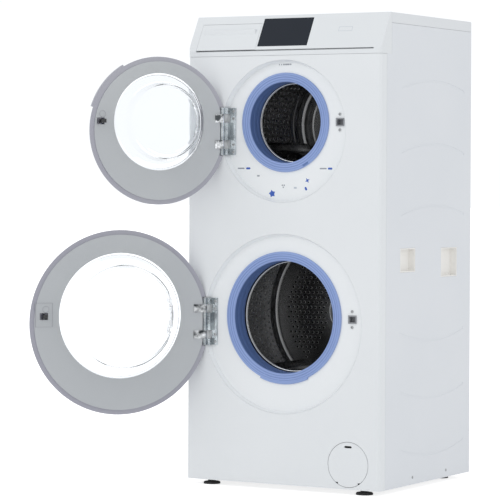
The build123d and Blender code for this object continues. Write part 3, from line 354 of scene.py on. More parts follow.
def rounded(profile, radius, steps=4):  # a closed line of points with its corners eased
    eased = []
    for i, corner in enumerate(profile):
        before, after = Vector(profile[i - 1]), Vector(profile[(i + 1) % len(profile)])
        corner = Vector(corner)
        a, b = before - corner, after - corner
        reach = min(radius, a.length * 0.45, b.length * 0.45)
        start, end = corner + a.normalized() * reach, corner + b.normalized() * reach
        for s in range(steps + 1):
            t = s / steps
            eased.append(tuple(start * (1 - t) ** 2 + corner * 2 * t * (1 - t) + end * t ** 2))
    return eased


# (depth, radius) points turned about a front-to-back line
def spin(build, profile, x, z, segments=144, span=(0, 360), material=0):
    whole = span[1] - span[0] >= 360
    count = segments if whole else segments + 1
    rings = []
    for i in range(count):
        angle = math.radians(span[0] + (span[1] - span[0]) * i / segments)
        rings.append([build.verts.new((x * mm + r * mm * math.cos(angle), front + d * mm,
                                       z * mm + r * mm * math.sin(angle))) for d, r in profile])
    for i in range(segments):
        here, after = rings[i], rings[(i + 1) % count]
        for k in range(len(profile)):
            j = (k + 1) % len(profile)
            build.faces.new((here[k], after[k], after[j], here[j])).material_index = material
    if not whole:
        build.faces.new(list(rings[0]))
        build.faces.new(list(reversed(rings[-1])))
    bmesh.ops.recalc_face_normals(build, faces=build.faces)


# a flat outline in x and y, given a thickness upwards
def slab(build, outline, thickness, place, material=0):
    low = [build.verts.new(place @ Vector((x * mm, y * mm, 0))) for x, y in outline]
    high = [build.verts.new(place @ Vector((x * mm, y * mm, thickness * mm))) for x, y in outline]
    made = [build.faces.new(high), build.faces.new(list(reversed(low)))]
    for i in range(len(outline)):
        j = (i + 1) % len(outline)
        made.append(build.faces.new((low[i], low[j], high[j], high[i])))
    for face in made:
        face.material_index = material
    bmesh.ops.recalc_face_normals(build, faces=made)


def roundRect(width, height, radius, steps=5):
    corners = [(width / 2 - radius, height / 2 - radius, 0),
               (radius - width / 2, height / 2 - radius, 90),
               (radius - width / 2, radius - height / 2, 180),
               (width / 2 - radius, radius - height / 2, 270)]
    return [(x + radius * math.cos(math.radians(turn + 90 * s / steps)),
             y + radius * math.sin(math.radians(turn + 90 * s / steps)))
            for x, y, turn in corners for s in range(steps + 1)]


def onFront(x, z, depth, turn=0):  # x across, y up, thickness towards the viewer
    return (Matrix.Translation((x * mm, front + depth * mm, z * mm))
            @ Matrix.Rotation(math.radians(90), 4, "X")
            @ Matrix.Rotation(math.radians(turn), 4, "Z"))


fasciaTilt = math.atan2(52.5, 95.5)


def onFascia(x, up):  # up is measured along the sloping face from its middle
    middle = Vector((x * mm, front + 26.25 * mm, 1232.25 * mm))
    along = Vector((0, math.sin(fasciaTilt), math.cos(fasciaTilt)))
    return (Matrix.Translation(middle + along * up * mm)
            @ Matrix.Rotation(math.radians(90) - fasciaTilt, 4, "X"))


# geometry node trees

def nodeTree(name, inputs):
    tree = bpy.data.node_groups.new(name, "GeometryNodeTree")
    for label, kind, value in inputs:
        socket = tree.interface.new_socket(name=label, in_out="INPUT", socket_type=kind)
        socket.default_value = value
    tree.interface.new_socket(name="Geometry", in_out="OUTPUT", socket_type="NodeSocketGeometry")
    return tree, tree.nodes.new("NodeGroupInput").outputs, tree.nodes.new("NodeGroupOutput")


def sum2(tree, operation, a, b=0.0):
    return addNode(tree, "ShaderNodeMath", {0: a, 1: b}, operation=operation).outputs[0]


def wrapTurn(tree, angle, span):  # brings an angle into the span either side of zero
    wrapped = addNode(tree, "ShaderNodeMath", {0: angle, 1: span / 2, 2: -span / 2}, operation="WRAP")
    return wrapped.outputs[0]


# a raised rim with a black middle of painted shade standing in for the open hole, facing +Z
def holeShape(tree, radius, spread, rimMaterial, holeShadeMaterial):
    wide = sum2(tree, "MULTIPLY", radius, spread)
    rim = addNode(tree, "GeometryNodeMeshCone",
                  {"Vertices": 10, "Radius Top": radius, "Radius Bottom": wide, "Depth": 0.0014},
                  fill_type="NONE")
    middle = addNode(tree, "GeometryNodeMeshCircle", {"Vertices": 10, "Radius": radius},
                     fill_type="NGON")
    lifted = addNode(tree, "GeometryNodeTransform",
                     {"Geometry": middle.outputs[0], "Translation": (0, 0, 0.0011)})
    rimMade = addNode(tree, "GeometryNodeSetMaterial",
                      {"Geometry": rim.outputs[0], "Material": rimMaterial})
    holeShadeMade = addNode(tree, "GeometryNodeSetMaterial",
                       {"Geometry": lifted.outputs[0], "Material": holeShadeMaterial})
    joined = addNode(tree, "GeometryNodeJoinGeometry")
    tree.links.new(rimMade.outputs[0], joined.inputs[0])
    tree.links.new(holeShadeMade.outputs[0], joined.inputs[0])
    return joined.outputs[0]


def makeWallHoles():  # rows of holes round a drum's wall, every other row set over by half a pitch
    tree, given, result = nodeTree("drumWallHoles", [
        ("Radius", "NodeSocketFloat", 0.165), ("First", "NodeSocketFloat", 0.1),
        ("Length", "NodeSocketFloat", 0.2),
        ("Rows", "NodeSocketInt", 10), ("Around", "NodeSocketInt", 60),
        ("Hole", "NodeSocketFloat", 0.002),
        ("Height", "NodeSocketFloat", 1.0), ("Shift", "NodeSocketFloat", 0.0),
        ("Lifter", "NodeSocketFloat", 0.0), ("Gap", "NodeSocketFloat", 0.2)])
    step = sum2(tree, "DIVIDE", 2 * math.pi, given["Around"])
    grid = addNode(tree, "GeometryNodeMeshGrid",
                   {"Size X": sum2(tree, "SUBTRACT", 2 * math.pi, step), "Size Y": given["Length"],
                    "Vertices X": given["Around"], "Vertices Y": given["Rows"]})
    where = addNode(tree, "ShaderNodeSeparateXYZ",
                    {0: addNode(tree, "GeometryNodeInputPosition").outputs[0]})
    pitch = sum2(tree, "DIVIDE", given["Length"], sum2(tree, "SUBTRACT", given["Rows"], 1.0))
    row = sum2(tree, "ROUND", sum2(tree, "DIVIDE",
                                   sum2(tree, "ADD", where.outputs["Y"],
                                        sum2(tree, "MULTIPLY", given["Length"], 0.5)), pitch))
    odd = sum2(tree, "MODULO", row, 2.0)
    angle = sum2(tree, "ADD", where.outputs["X"],
                 sum2(tree, "MULTIPLY", sum2(tree, "MULTIPLY", odd, step), given["Shift"]))
    third = 2 * math.pi / 3
    wrapped = wrapTurn(tree, sum2(tree, "SUBTRACT", angle, given["Lifter"]), third)
    under = sum2(tree, "LESS_THAN", sum2(tree, "ABSOLUTE", wrapped), given["Gap"])
    spot = addNode(tree, "ShaderNodeCombineXYZ", {
        "X": sum2(tree, "MULTIPLY", given["Radius"], sum2(tree, "COSINE", angle)),
        "Y": sum2(tree, "ADD", sum2(tree, "ADD", where.outputs["Y"], given["First"]),
                  sum2(tree, "MULTIPLY", given["Length"], 0.5)),
        "Z": sum2(tree, "MULTIPLY", given["Radius"], sum2(tree, "SINE", angle))})
    kept = addNode(tree, "GeometryNodeDeleteGeometry",
                   {"Geometry": grid.outputs[0], "Selection": under}, domain="POINT")
    moved = addNode(tree, "GeometryNodeSetPosition",
                    {"Geometry": kept.outputs[0], "Position": spot.outputs[0]})
    inward = addNode(tree, "ShaderNodeVectorMath",
                     {0: addNode(tree, "GeometryNodeInputPosition").outputs[0], 1: (-1, 0, -1)},
                     operation="MULTIPLY")
    facing = addNode(tree, "FunctionNodeAlignRotationToVector", {"Vector": inward.outputs[0]}, axis="Z")
    holes = addNode(tree, "GeometryNodeInstanceOnPoints",
                    {"Points": moved.outputs[0], "Rotation": facing.outputs[0],
                     "Instance": holeShape(tree, given["Hole"], 2.0, finish["rimSteel"],
                                           finish["holeShadeBlack"])})
    raised = addNode(tree, "ShaderNodeCombineXYZ", {"Z": given["Height"]})
    lifted = addNode(tree, "GeometryNodeTransform",
                     {"Geometry": holes.outputs[0], "Translation": raised.outputs[0]})
    real = addNode(tree, "GeometryNodeRealizeInstances", {"Geometry": lifted.outputs[0]})
    tree.links.new(real.outputs[0], result.inputs[0])
    return tree


def makeBackHoles():  # a staggered field of holes on a drum's back wall, between three plain arms
    tree, given, result = nodeTree("drumBackHoles", [
        ("Outer", "NodeSocketFloat", 0.2), ("Inner", "NodeSocketFloat", 0.08),
        ("Count", "NodeSocketInt", 24), ("Hole", "NodeSocketFloat", 0.0025),
        ("Depth", "NodeSocketFloat", 0.1), ("Height", "NodeSocketFloat", 0.46),
        ("Lifter", "NodeSocketFloat", 0.0), ("Arm", "NodeSocketFloat", 0.04)])
    across = sum2(tree, "MULTIPLY", given["Outer"], 2.0)
    grid = addNode(tree, "GeometryNodeMeshGrid",
                   {"Size X": across, "Size Y": across, "Vertices X": given["Count"],
                    "Vertices Y": given["Count"]})
    where = addNode(tree, "ShaderNodeSeparateXYZ",
                    {0: addNode(tree, "GeometryNodeInputPosition").outputs[0]})
    pitch = sum2(tree, "DIVIDE", across, sum2(tree, "SUBTRACT", given["Count"], 1.0))
    row = sum2(tree, "ROUND", sum2(tree, "DIVIDE",
                                   sum2(tree, "ADD", where.outputs["Y"], given["Outer"]), pitch))
    x = sum2(tree, "ADD", where.outputs["X"],
             sum2(tree, "MULTIPLY", sum2(tree, "MODULO", row, 2.0), sum2(tree, "MULTIPLY", pitch, 0.5)))
    z = where.outputs["Y"]
    reach = sum2(tree, "SQRT", sum2(tree, "ADD", sum2(tree, "MULTIPLY", x, x),
                                    sum2(tree, "MULTIPLY", z, z)))
    outside = sum2(tree, "GREATER_THAN", reach, sum2(tree, "MULTIPLY", given["Outer"], 0.985))
    inside = sum2(tree, "LESS_THAN", reach, given["Inner"])
    third = 2 * math.pi / 3
    wrapped = wrapTurn(tree, sum2(tree, "SUBTRACT", sum2(tree, "ARCTAN2", z, x), given["Lifter"]),
                       third)
    aside = sum2(tree, "ABSOLUTE", sum2(tree, "MULTIPLY", reach, sum2(tree, "SINE", wrapped)))
    onArm = sum2(tree, "LESS_THAN", aside, given["Arm"])
    gone = sum2(tree, "GREATER_THAN", sum2(tree, "ADD", sum2(tree, "ADD", outside, inside), onArm), 0.5)
    spot = addNode(tree, "ShaderNodeCombineXYZ", {"X": x, "Y": given["Depth"], "Z": z})
    kept = addNode(tree, "GeometryNodeDeleteGeometry", {"Geometry": grid.outputs[0], "Selection": gone},
                   domain="POINT")
    moved = addNode(tree, "GeometryNodeSetPosition",
                    {"Geometry": kept.outputs[0], "Position": spot.outputs[0]})
    holes = addNode(tree, "GeometryNodeInstanceOnPoints", {"Points": moved.outputs[0],
            "Instance": holeShape(tree, given["Hole"], 1.3, finish["rimSteel"], finish["holeShadeBlack"])})
    turned = addNode(tree, "GeometryNodeRotateInstances",
                     {"Instances": holes.outputs[0], "Rotation": (math.radians(90), 0, 0)})
    raised = addNode(tree, "ShaderNodeCombineXYZ", {"Z": given["Height"]})
    lifted = addNode(tree, "GeometryNodeTransform",
                     {"Geometry": turned.outputs[0], "Translation": raised.outputs[0]})
    real = addNode(tree, "GeometryNodeRealizeInstances", {"Geometry": lifted.outputs[0]})
    tree.links.new(real.outputs[0], result.inputs[0])
    return tree


def makeScrewHeads():  # pan heads with a cross slot on the points of a mesh
    tree = bpy.data.node_groups.new("screwHeads", "GeometryNodeTree")
    tree.interface.new_socket(name="Points", in_out="INPUT", socket_type="NodeSocketGeometry")
    for label, kind, value in [("Radius", "NodeSocketFloat", 0.0042),
                               ("Depth", "NodeSocketFloat", 0.002),
                               ("Facing", "NodeSocketVector", (0, 0, 0))]:
        tree.interface.new_socket(name=label, in_out="INPUT", socket_type=kind).default_value = value
    tree.interface.new_socket(name="Geometry", in_out="OUTPUT", socket_type="NodeSocketGeometry")
    given, result = tree.nodes.new("NodeGroupInput").outputs, tree.nodes.new("NodeGroupOutput")
    crown = sum2(tree, "MULTIPLY", given["Radius"], 0.72)
    base = sum2(tree, "MULTIPLY", given["Depth"], 0.55)
    skirt = addNode(tree, "GeometryNodeMeshCylinder",
                    {"Vertices": 20, "Radius": given["Radius"], "Depth": base})
    skirtUp = addNode(tree, "GeometryNodeTransform",
                      {"Geometry": skirt.outputs[0], "Translation": addNode(
        tree, "ShaderNodeCombineXYZ", {"Z": sum2(tree, "MULTIPLY", base, 0.5)}).outputs[0]})
    dome = addNode(tree, "GeometryNodeMeshCone",
                   {"Vertices": 20, "Radius Top": crown, "Radius Bottom": given["Radius"],
                    "Depth": sum2(tree, "MULTIPLY", given["Depth"], 0.4)})
    domeUp = addNode(tree, "GeometryNodeTransform",
                     {"Geometry": dome.outputs[0], "Translation": addNode(
        tree, "ShaderNodeCombineXYZ", {"Z": base}).outputs[0]})
    metal = addNode(tree, "GeometryNodeJoinGeometry")
    tree.links.new(skirtUp.outputs[0], metal.inputs[0])
    tree.links.new(domeUp.outputs[0], metal.inputs[0])
    metalMade = addNode(tree, "GeometryNodeSetMaterial",
                        {"Geometry": metal.outputs[0], "Material": finish["zincSteel"]})
    cross = addNode(tree, "GeometryNodeJoinGeometry")
    long = sum2(tree, "MULTIPLY", given["Radius"], 0.8)
    thin = sum2(tree, "MULTIPLY", given["Radius"], 0.16)
    lift = addNode(tree, "ShaderNodeCombineXYZ",
                   {"Z": sum2(tree, "MULTIPLY", given["Depth"], 0.93)}).outputs[0]
    for x, y in ((long, thin), (thin, long)):
        size = addNode(tree, "ShaderNodeCombineXYZ",
                       {"X": x, "Y": y, "Z": sum2(tree, "MULTIPLY", given["Depth"], 0.1)}).outputs[0]
        bar = addNode(tree, "GeometryNodeMeshCube", {"Size": size})
        barUp = addNode(tree, "GeometryNodeTransform",
                        {"Geometry": bar.outputs[0], "Translation": lift})
        tree.links.new(barUp.outputs[0], cross.inputs[0])
    # the cross slot is raised black bars of painted shade standing in for the recess
    crossMade = addNode(tree, "GeometryNodeSetMaterial",
                        {"Geometry": cross.outputs[0], "Material": finish["holeShadeBlack"]})
    head = addNode(tree, "GeometryNodeJoinGeometry")
    tree.links.new(metalMade.outputs[0], head.inputs[0])
    tree.links.new(crossMade.outputs[0], head.inputs[0])
    placed = addNode(tree, "GeometryNodeInstanceOnPoints",
                     {"Points": given["Points"], "Instance": head.outputs[0]})
    turned = addNode(tree, "GeometryNodeRotateInstances",
                     {"Instances": placed.outputs[0], "Rotation": given["Facing"]})
    real = addNode(tree, "GeometryNodeRealizeInstances", {"Geometry": turned.outputs[0]})
    tree.links.new(real.outputs[0], result.inputs[0])
    return tree


def grow(name, tree, values, points=None):  # runs a tree and returns its result as a plain mesh
    mesh = bpy.data.meshes.new(name + "Seed")
    if points:
        mesh.from_pydata(points, [], [])
    seed = bpy.data.objects.new(name + "Seed", mesh)
    bpy.context.scene.collection.objects.link(seed)
    modifier = seed.modifiers.new("tree", "NODES")
    modifier.node_group = tree
    for socket in tree.interface.items_tree:
        if socket.in_out == "INPUT" and socket.name in values:
            modifier[socket.identifier] = values[socket.name]
    made = bpy.data.meshes.new_from_object(seed.evaluated_get(bpy.context.evaluated_depsgraph_get()))
    seed.modifiers.clear()
    bpy.data.objects.remove(seed)
    made.name = name
    return made


def meshPiece(name, mesh, body, stands=()):
    piece = bpy.data.objects.new(name, mesh)
    bpy.context.scene.collection.objects.link(piece)
    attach(piece, body)
    if stands:
        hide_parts(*stands)
    return piece


# gaskets

gasketShape = dict(segments=200, tubFront=52, bottomLip=(247, 295), bottomRise=4.0, clipAngle=-60)


def gasketProfile(unit):
    f, b, m = unit["floor"], unit["bead"], unit["mouth"]
    line = [(0, b), (-3.6, b - 0.3), (-5.6, b - 2.4), (-6, b - 5), (-5.2, b - 6.4), (-5.9, b - 8),
            (-5.9, b - 11), (-5.1, b - 12.2),
            (-5.8, b - 13.6), (-5.8, m + 8), (-5.0, m + 6.8), (-5.6, m + 5.4), (-5, m + 2.6),
            (-2.6, m + 0.5), (0, m), (14, m), (15, m + 0.8),
            (17, m + 0.8), (18, m), (34, m), (35, m + 0.8), (37, m + 0.8), (38, m), (50, m),
            (50, m + 4), (6, m + 5), (6, b - 13)]
    line = [(f + d, r) for d, r in line]
    return rounded(line + [(gasketShape["tubFront"], b - 13), (gasketShape["tubFront"], b - 8.1),
                           (f, b - 8.1)], 0.8, 2)


# painted shade: the throat of the bellows gets a darker blue deeper in, and the grooves a little darker
# blue
def shadeInside(build, unit):
    grooves = [(unit["bead"] - 12.4, 1.4), (unit["mouth"] + 6.8, 1.2), (unit["bead"] - 6.4, 1.0)]
    for face in build.faces:
        middle = face.calc_center_median()
        radius = math.hypot(middle.x, middle.z - unit["drumZ"] * mm) / mm
        # painted shade: faces deep in the throat take the darker blue
        if radius < unit["mouth"] + 1.5 and middle.y > front + (unit["floor"] - 2) * mm:
            face.material_index = 1
        # painted shade: faces in the grooves take a darker blue
        elif any(abs(radius - groove) < half for groove, half in grooves):
            face.material_index = 2


for unitName, unit in units.items():
    build = bmesh.new()
    spin(build, gasketProfile(unit), 0, unit["drumZ"], gasketShape["segments"])
    if unitName == "lower":
        f, b, rise = unit["floor"], unit["bead"], gasketShape["bottomRise"]
        band = rounded([(f - 0.1, b - 2), (f - 5.2, b - 3), (f - 5.0, b + rise * 0.6),
                        (f - 3, b + rise), (f - 0.1, b + rise)], 1.5, 3)
        spin(build, band, 0, unit["drumZ"], 40, gasketShape["bottomLip"])
    shadeInside(build, unit)
    gasket = finishMesh(f"{unitName}GasketBellows", build, "cabinet",
                        [f"{unitName}_gasket"], sharp=60)
    paint(gasket, "gasketBlue", "gasketNavyAndThroatShade", "gasketGrooveShade")
build = bmesh.new()
upper = units["upper"]
spin(build, rounded([(upper["floor"] - 6.6, 126.5), (upper["floor"] - 6.6, 131.5),
                     (upper["floor"] - 2, 133), (upper["floor"] - 2, 126)], 0.8),
     0, upper["drumZ"], 10, (gasketShape["clipAngle"] - 4, gasketShape["clipAngle"] + 4))
paint(finishMesh("gasketClip", build, "cabinet"), "gasketNavyAndThroatShade")
print("gaskets made")

# drums

drumShape = {
    "upper": dict(ridges=((342, 5.0), (366, 5.0)), rows=11, around=62, hole=2.0, first=100, last=322,
                  shift=0.0, gap=0.19, backRing=127),
    "lower": dict(ridges=((378, 3.0),), rows=12, around=84, hole=2.0, first=106, last=358, shift=1.0,
                  gap=0.2, backRing=0),
}
backField = dict(outer=205, inner=78, count=30, hole=3.2, arm=30)
hubShape = dict(ring=66, ringWidth=3.2)


def drumProfile(unit, shape):
    f, b, w, c = drumRun["front"], drumRun["back"], drumRun["wall"], drumRun["corner"]
    r, lip = unit["drum"], unit["mouth"] - 5
    outside = [(f, lip), (f - 3, lip + 3), (f, lip + 6), (f + 8, r - 14), (f + 14, r - 4), (f + 22, r),
               (b - c, r), (b - 4, r - 4), (b, r - c), (b, 0.5)]
    inside = [(b - w, 0.5)]
    if shape["backRing"]:
        ring = shape["backRing"]
        inside += [(b - w, ring - 6), (b - w - 2.4, ring - 2), (b - w - 2.4, ring + 2),
                   (b - w, ring + 6)]
    inside += [(b - w, r - c - 1), (b - 5, r - 6), (b - c - 1, r - w)]
    for d, rise in sorted(shape["ridges"], reverse=True):
        inside += [(d + 6, r - w), (d + 2, r - w - rise * 0.8), (d, r - w - rise),
                   (d - 2, r - w - rise * 0.8), (d - 6, r - w)]
    inside += [(f + 23, r - w), (f + 15, r - 5.2), (f + 9.2, r - 14.5), (f + w, lip + 6.2),
               (f + w, lip)]
    return outside + inside


def lifterPiece(unit):  # rounded baffles on the drum's wall
    build = bmesh.new()
    r, rise = unit["drum"], unit["lifterRise"]
    base, crest = r * 0.16, r * 0.08
    section = rounded([(-base, r - 6), (-crest, r - rise), (crest, r - rise), (base, r - 6)], 9, 5)
    for k in range(3):
        turn = math.radians(unit["lifterAngle"] + 120 * k)
        rings = []
        for d, shrink in ((110, 14), (114, 6), (124, 0), (342, 0), (352, 6), (356, 14)):
            ring = []
            for s, h in section:
                high = min(h + shrink, r - 6)
                x = high * math.cos(turn) - s * math.sin(turn)
                z = high * math.sin(turn) + s * math.cos(turn)
                ring.append(build.verts.new((x * mm, front + d * mm, (unit["drumZ"] + z) * mm)))
            rings.append(ring)
        for here, after in zip(rings, rings[1:]):
            for i in range(len(section)):
                j = (i + 1) % len(section)
                build.faces.new((here[i], here[j], after[j], after[i]))
        build.faces.new(rings[0])
        build.faces.new(list(reversed(rings[-1])))
    bmesh.ops.recalc_face_normals(build, faces=build.faces)
    return build


wallHoles, backHoles = makeWallHoles(), makeBackHoles()
for unitName, unit in units.items():
    shape, body = drumShape[unitName], f"{unitName}_drum_unit"
    build = bmesh.new()
    spin(build, rounded(drumProfile(unit, shape), 2.2, 3), 0, unit["drumZ"], 160)
    bmesh.ops.remove_doubles(build, verts=build.verts, dist=1e-6)
    paint(finishMesh(f"{unitName}DrumShell", build, body, [f"{unitName}_drum"], sharp=50),
          "drumSteel")
    paint(finishMesh(f"{unitName}LifterBaffles", lifterPiece(unit), body,
                     [f"{unitName}_lifters"], sharp=50), "drumSteel")
    build = bmesh.new()
    lip = unit["mouth"] - 5
    spin(build, [(66.4 + 1.5 * math.cos(a * math.pi / 5), lip + 2.6 + 1.5 * math.sin(a * math.pi / 5))
                 for a in range(10)], 0, unit["drumZ"], 144)
    paint(finishMesh(f"{unitName}DrumLip", build, body), "brightChrome")
    values = {"Radius": (unit["drum"] - 1.5) * mm, "First": front + shape["first"] * mm,
              "Length": (shape["last"] - shape["first"]) * mm,
              "Rows": shape["rows"], "Around": shape["around"], "Hole": shape["hole"] * mm,
              "Height": unit["drumZ"] * mm,
              "Shift": shape["shift"] * 0.5, "Lifter": math.radians(unit["lifterAngle"]),
              "Gap": shape["gap"]}
    holes = grow(f"{unitName}WallPerforations", wallHoles, values)
    print(unitName, "wall perforations:", len(holes.polygons), "faces")
    meshPiece(f"{unitName}WallPerforations", holes, body)
    build = bmesh.new()
    back = drumRun["back"] - 1.3
    if unitName == "lower":
        values = {"Outer": backField["outer"] * mm, "Inner": backField["inner"] * mm,
                  "Count": backField["count"], "Hole": backField["hole"] * mm,
                  "Depth": front + (back - 0.3) * mm, "Height": unit["drumZ"] * mm,
                  "Lifter": math.radians(unit["lifterAngle"]), "Arm": backField["arm"] * mm}
        meshPiece("lowerBackPerforations", grow("lowerBackPerforations", backHoles, values), body)
        ring, wide = hubShape["ring"], hubShape["ringWidth"]
        spin(build, rounded([(back, ring - wide), (back - 5, ring - wide), (back - 5, ring),
                             (back, ring)], 1.5, 4), 0, unit["drumZ"], 96, material=1)
        spin(build, rounded([(back, 0.5), (back - 9, 0.5), (back - 8, 26), (back - 3, ring - 8),
                             (back, ring - 4)], 3, 3), 0, unit["drumZ"], 96)
    else:
        spin(build, rounded([(back, 0.5), (back - 5, 0.5), (back - 4, 22), (back, 34)], 3, 3), 0,
             unit["drumZ"], 96)
    hub = finishMesh(f"{unitName}DrumHub", build, body, sharp=50)
    paint(hub, "drumSteel", "brightChrome")
print("drums made")

# doors

bowlShape = dict(segments=168, wall=3.5, reach=60, face=-5, back=-8, flatSide=0.62, flatTop=0.72)
plateShape = dict(width=46, height=64, frame=1.0, proud=0.5)
turnOver = Matrix.Rotation(math.pi, 4, "X")  # a slab that rises from the face the other way


def bowlProfile(unit):
    h, t = unit["bowl"], bowlShape["wall"]
    reach, face, back = bowlShape["reach"], bowlShape["face"], bowlShape["back"]
    outer = [(back, h + 6.8), (back, h - 1), (face + 2, h - 2), (face + 8, h - 16), (face + 13, h - 24),
             (reach - 18, h - 31),
             (reach - 6, h - 38), (reach - 0.2, h - 48), (reach - 0.2, 0.4)]
    inner = [(reach - t, 0.4), (reach - t, h - 50), (reach - 8, h - 41), (reach - 19, h - 34),
             (face + 11, h - 27), (face + 5, h - 18),
             (back, h - 6), (back - t, h - 5), (back - t, h + 6.8)]
    return outer + inner


for unitName, unit in units.items():
    body, moved = f"{unitName}_door", swing(unit)
    build = bmesh.new()
    spin(build, rounded(bowlProfile(unit), 3.0, 4), 0, unit["drumZ"], bowlShape["segments"])
    bmesh.ops.remove_doubles(build, verts=build.verts, dist=1e-6)
    start = front + (bowlShape["face"] + 15) * mm
    full = (bowlShape["reach"] - bowlShape["face"] - 15) * mm
    for vert in build.verts:  # the pressed flats on the hinge side and at the top of the bowl's end
        share = min(1.0, max(0.0, (vert.co.y - start) / full))
        side = -unit["bowl"] * mm * (1 - (1 - bowlShape["flatSide"]) * share)
        top = unit["bowl"] * mm * (1 - (1 - bowlShape["flatTop"]) * share)
        vert.co.x = max(vert.co.x, side)
        vert.co.z = min(vert.co.z, unit["drumZ"] * mm + top)
    bowl = finishMesh(f"{unitName}GlassBowl", build, body, [f"{unitName}_door_bowl"],
                      sharp=70, place=moved)
    paint(bowl, "clearGlass")
    # a round button above the hook on both doors, and the lower door's raised plate frame
    build = bmesh.new()
    x, z, depth = unit["strikeX"], unit["drumZ"], bowlShape["face"]
    spin(build, rounded([(depth - 0.1, 8.0), (depth + 0.6, 8.0), (depth + 0.6, 9.2),
                         (depth - 0.1, 9.2)], 0.2, 2), x - 2, z + 19, 40)
    if unitName == "lower":
        w, h, line = plateShape["width"], plateShape["height"], plateShape["frame"]
        for dx, dz, sx, sz in ((0, h / 2, w, line), (0, -h / 2, w, line), (w / 2, 0, line, h),
                               (-w / 2, 0, line, h)):
            slab(build, roundRect(sx + line, sz, line * 0.45, 2), plateShape["proud"],
                 onFront(x + 3 + dx, z + 4 + dz, depth + 0.1) @ turnOver)
    plate = finishMesh(f"{unitName}LatchPlate", build, body, place=moved)
    paint(plate, "latchGrey")
print("doors made")

# screws

screwShape = dict(radius=4.2, depth=2.2, sideDepth=0.8, backDepth=1.3)
frontScrews = []
for unit in units.values():
    for dz in (-21, 21):
        frontScrews.append((unit["strikeX"] * mm, front + unit["floor"] * mm,
                            (unit["drumZ"] + dz) * mm))
    for dz in (-0.78 * 71, -35.5, 35.5, 0.78 * 71):
        frontScrews.append(((unit["pinX"] + 24) * mm, front + (unit["floor"] - 3) * mm,
                            (unit["doorZ"] + dz) * mm))
rightScrews = [(0.2975, front + d * mm, 0.0335) for d in (194, 400)]
leftScrews = [(-0.2975, front + d * mm, 0.0335) for d in (194, 400)]
backScrews = [(side * 0.2825, 0.275, z) for side in (-1, 1) for z in (0.06, 0.5, 0.78, 1.2)]
screwTree = makeScrewHeads()
quarter = math.radians(90)
screwBuild = bmesh.new()
for points, facing, deep in ((frontScrews, (quarter, 0, 0), screwShape["depth"]),
                             (rightScrews, (0, quarter, 0), screwShape["sideDepth"]),
                             (leftScrews, (0, -quarter, 0), screwShape["sideDepth"]),
                             (backScrews, (-quarter, 0, 0), screwShape["backDepth"])):
    heads = grow("screwSet", screwTree,
                 {"Radius": screwShape["radius"] * mm, "Depth": deep * mm, "Facing": facing}, points)
    screwBuild.from_mesh(heads)
screws = bpy.data.meshes.new("screwHeads")
screwBuild.to_mesh(screws)
screwBuild.free()
for material in heads.materials:
    screws.materials.append(material)
meshPiece("screwHeads", screws, "cabinet", ["machine_screws"])
print("screws made")

# printed marks

def star(points, outer, inner):
    return [((outer if i % 2 == 0 else inner) * math.sin(math.pi * i / points),
             (outer if i % 2 == 0 else inner) * math.cos(math.pi * i / points))
            for i in range(2 * points)]


markDepth = 0.15
ringFloor = units["upper"]["floor"] - 0.02
inks = {"markGrey": bmesh.new(), "markBlue": bmesh.new(), "markPale": bmesh.new()}
heading = dict(left=-20, pitch=7.0, z=1144, height=4, widths=(2.4, 2.4, 5.6, 6.4, 7.2, 4.0))
marks = {  # plain shapes on the upper surround: places are (x, z)
    "bars": dict(ink="markGrey", outline=roundRect(21, 3.6, 1.4),
                 places=[(-138, 864), (116, 864)]),
    "pills": dict(ink="markBlue", outline=roundRect(13, 5.4, 2.4),
                  places=[(-115.5, 864), (137, 864)]),
    "star": dict(ink="markBlue", outline=star(5, 10.5, 6.5), places=[(-40.5, 796)], turn=12),
    "button": dict(ink="markGrey", outline=roundRect(8, 4, 1.6), places=[(-83.7, 844)]),
    "dots": dict(ink="markGrey", outline=roundRect(4, 4, 1.6),
                 places=[(-9, 818.8), (-3, 818.8), (-6, 813.4)]),
    "sparkle": dict(ink="markBlue", outline=star(4, 7.5, 2.8), places=[(68, 832)], turn=30),
    "drop": dict(ink="markBlue", outline=roundRect(6, 10, 2.8), places=[(63.5, 810)], turn=24),
    "lozenge": dict(ink="markPale", outline=roundRect(9, 5, 2), places=[(31, 812)]),
}
for i, wide in enumerate(heading["widths"]):
    place = onFront(heading["left"] + i * heading["pitch"], heading["z"], ringFloor)
    slab(inks["markGrey"], roundRect(wide, heading["height"], 0.6), markDepth, place)
for mark in marks.values():
    for x, z in mark["places"]:
        slab(inks[mark["ink"]], mark["outline"], markDepth,
             onFront(x, z, ringFloor, mark.get("turn", 0)))
badge = dict(x=175, up=5, width=40, height=13, line=0.8)
for dx, dz, sx, sz in ((0, 1, 1, 0), (0, -1, 1, 0), (1, 0, 0, 1), (-1, 0, 0, 1)):
    wide, high = badge["width"] * sx + badge["line"], badge["height"] * sz + badge["line"]
    slab(inks["markPale"], roundRect(wide, high, 0.3, 2), markDepth,
         onFascia(badge["x"] + dx * badge["width"] / 2, badge["up"] + dz * badge["height"] / 2))
for name, ink in (("greyPrint", "markGrey"), ("bluePrint", "markBlue"), ("palePrint", "markPale")):
    paint(finishMesh(name, inks[ink], "cabinet"), ink)
print("marks made")

# floor, lights and camera

studio = dict(floorSize=60.0, floorTone=0.72, seenGlow=0.74, bounceGlow=0.24, sky=0.79)


def seenDirectly(tree):  # straight from the camera, or through clear glass
    path = addNode(tree, "ShaderNodeLightPath")
    return addNode(tree, "ShaderNodeMath",
                   {0: path.outputs["Is Camera Ray"], 1: path.outputs["Is Transmission Ray"]},
                   operation="MAXIMUM").outputs[0]


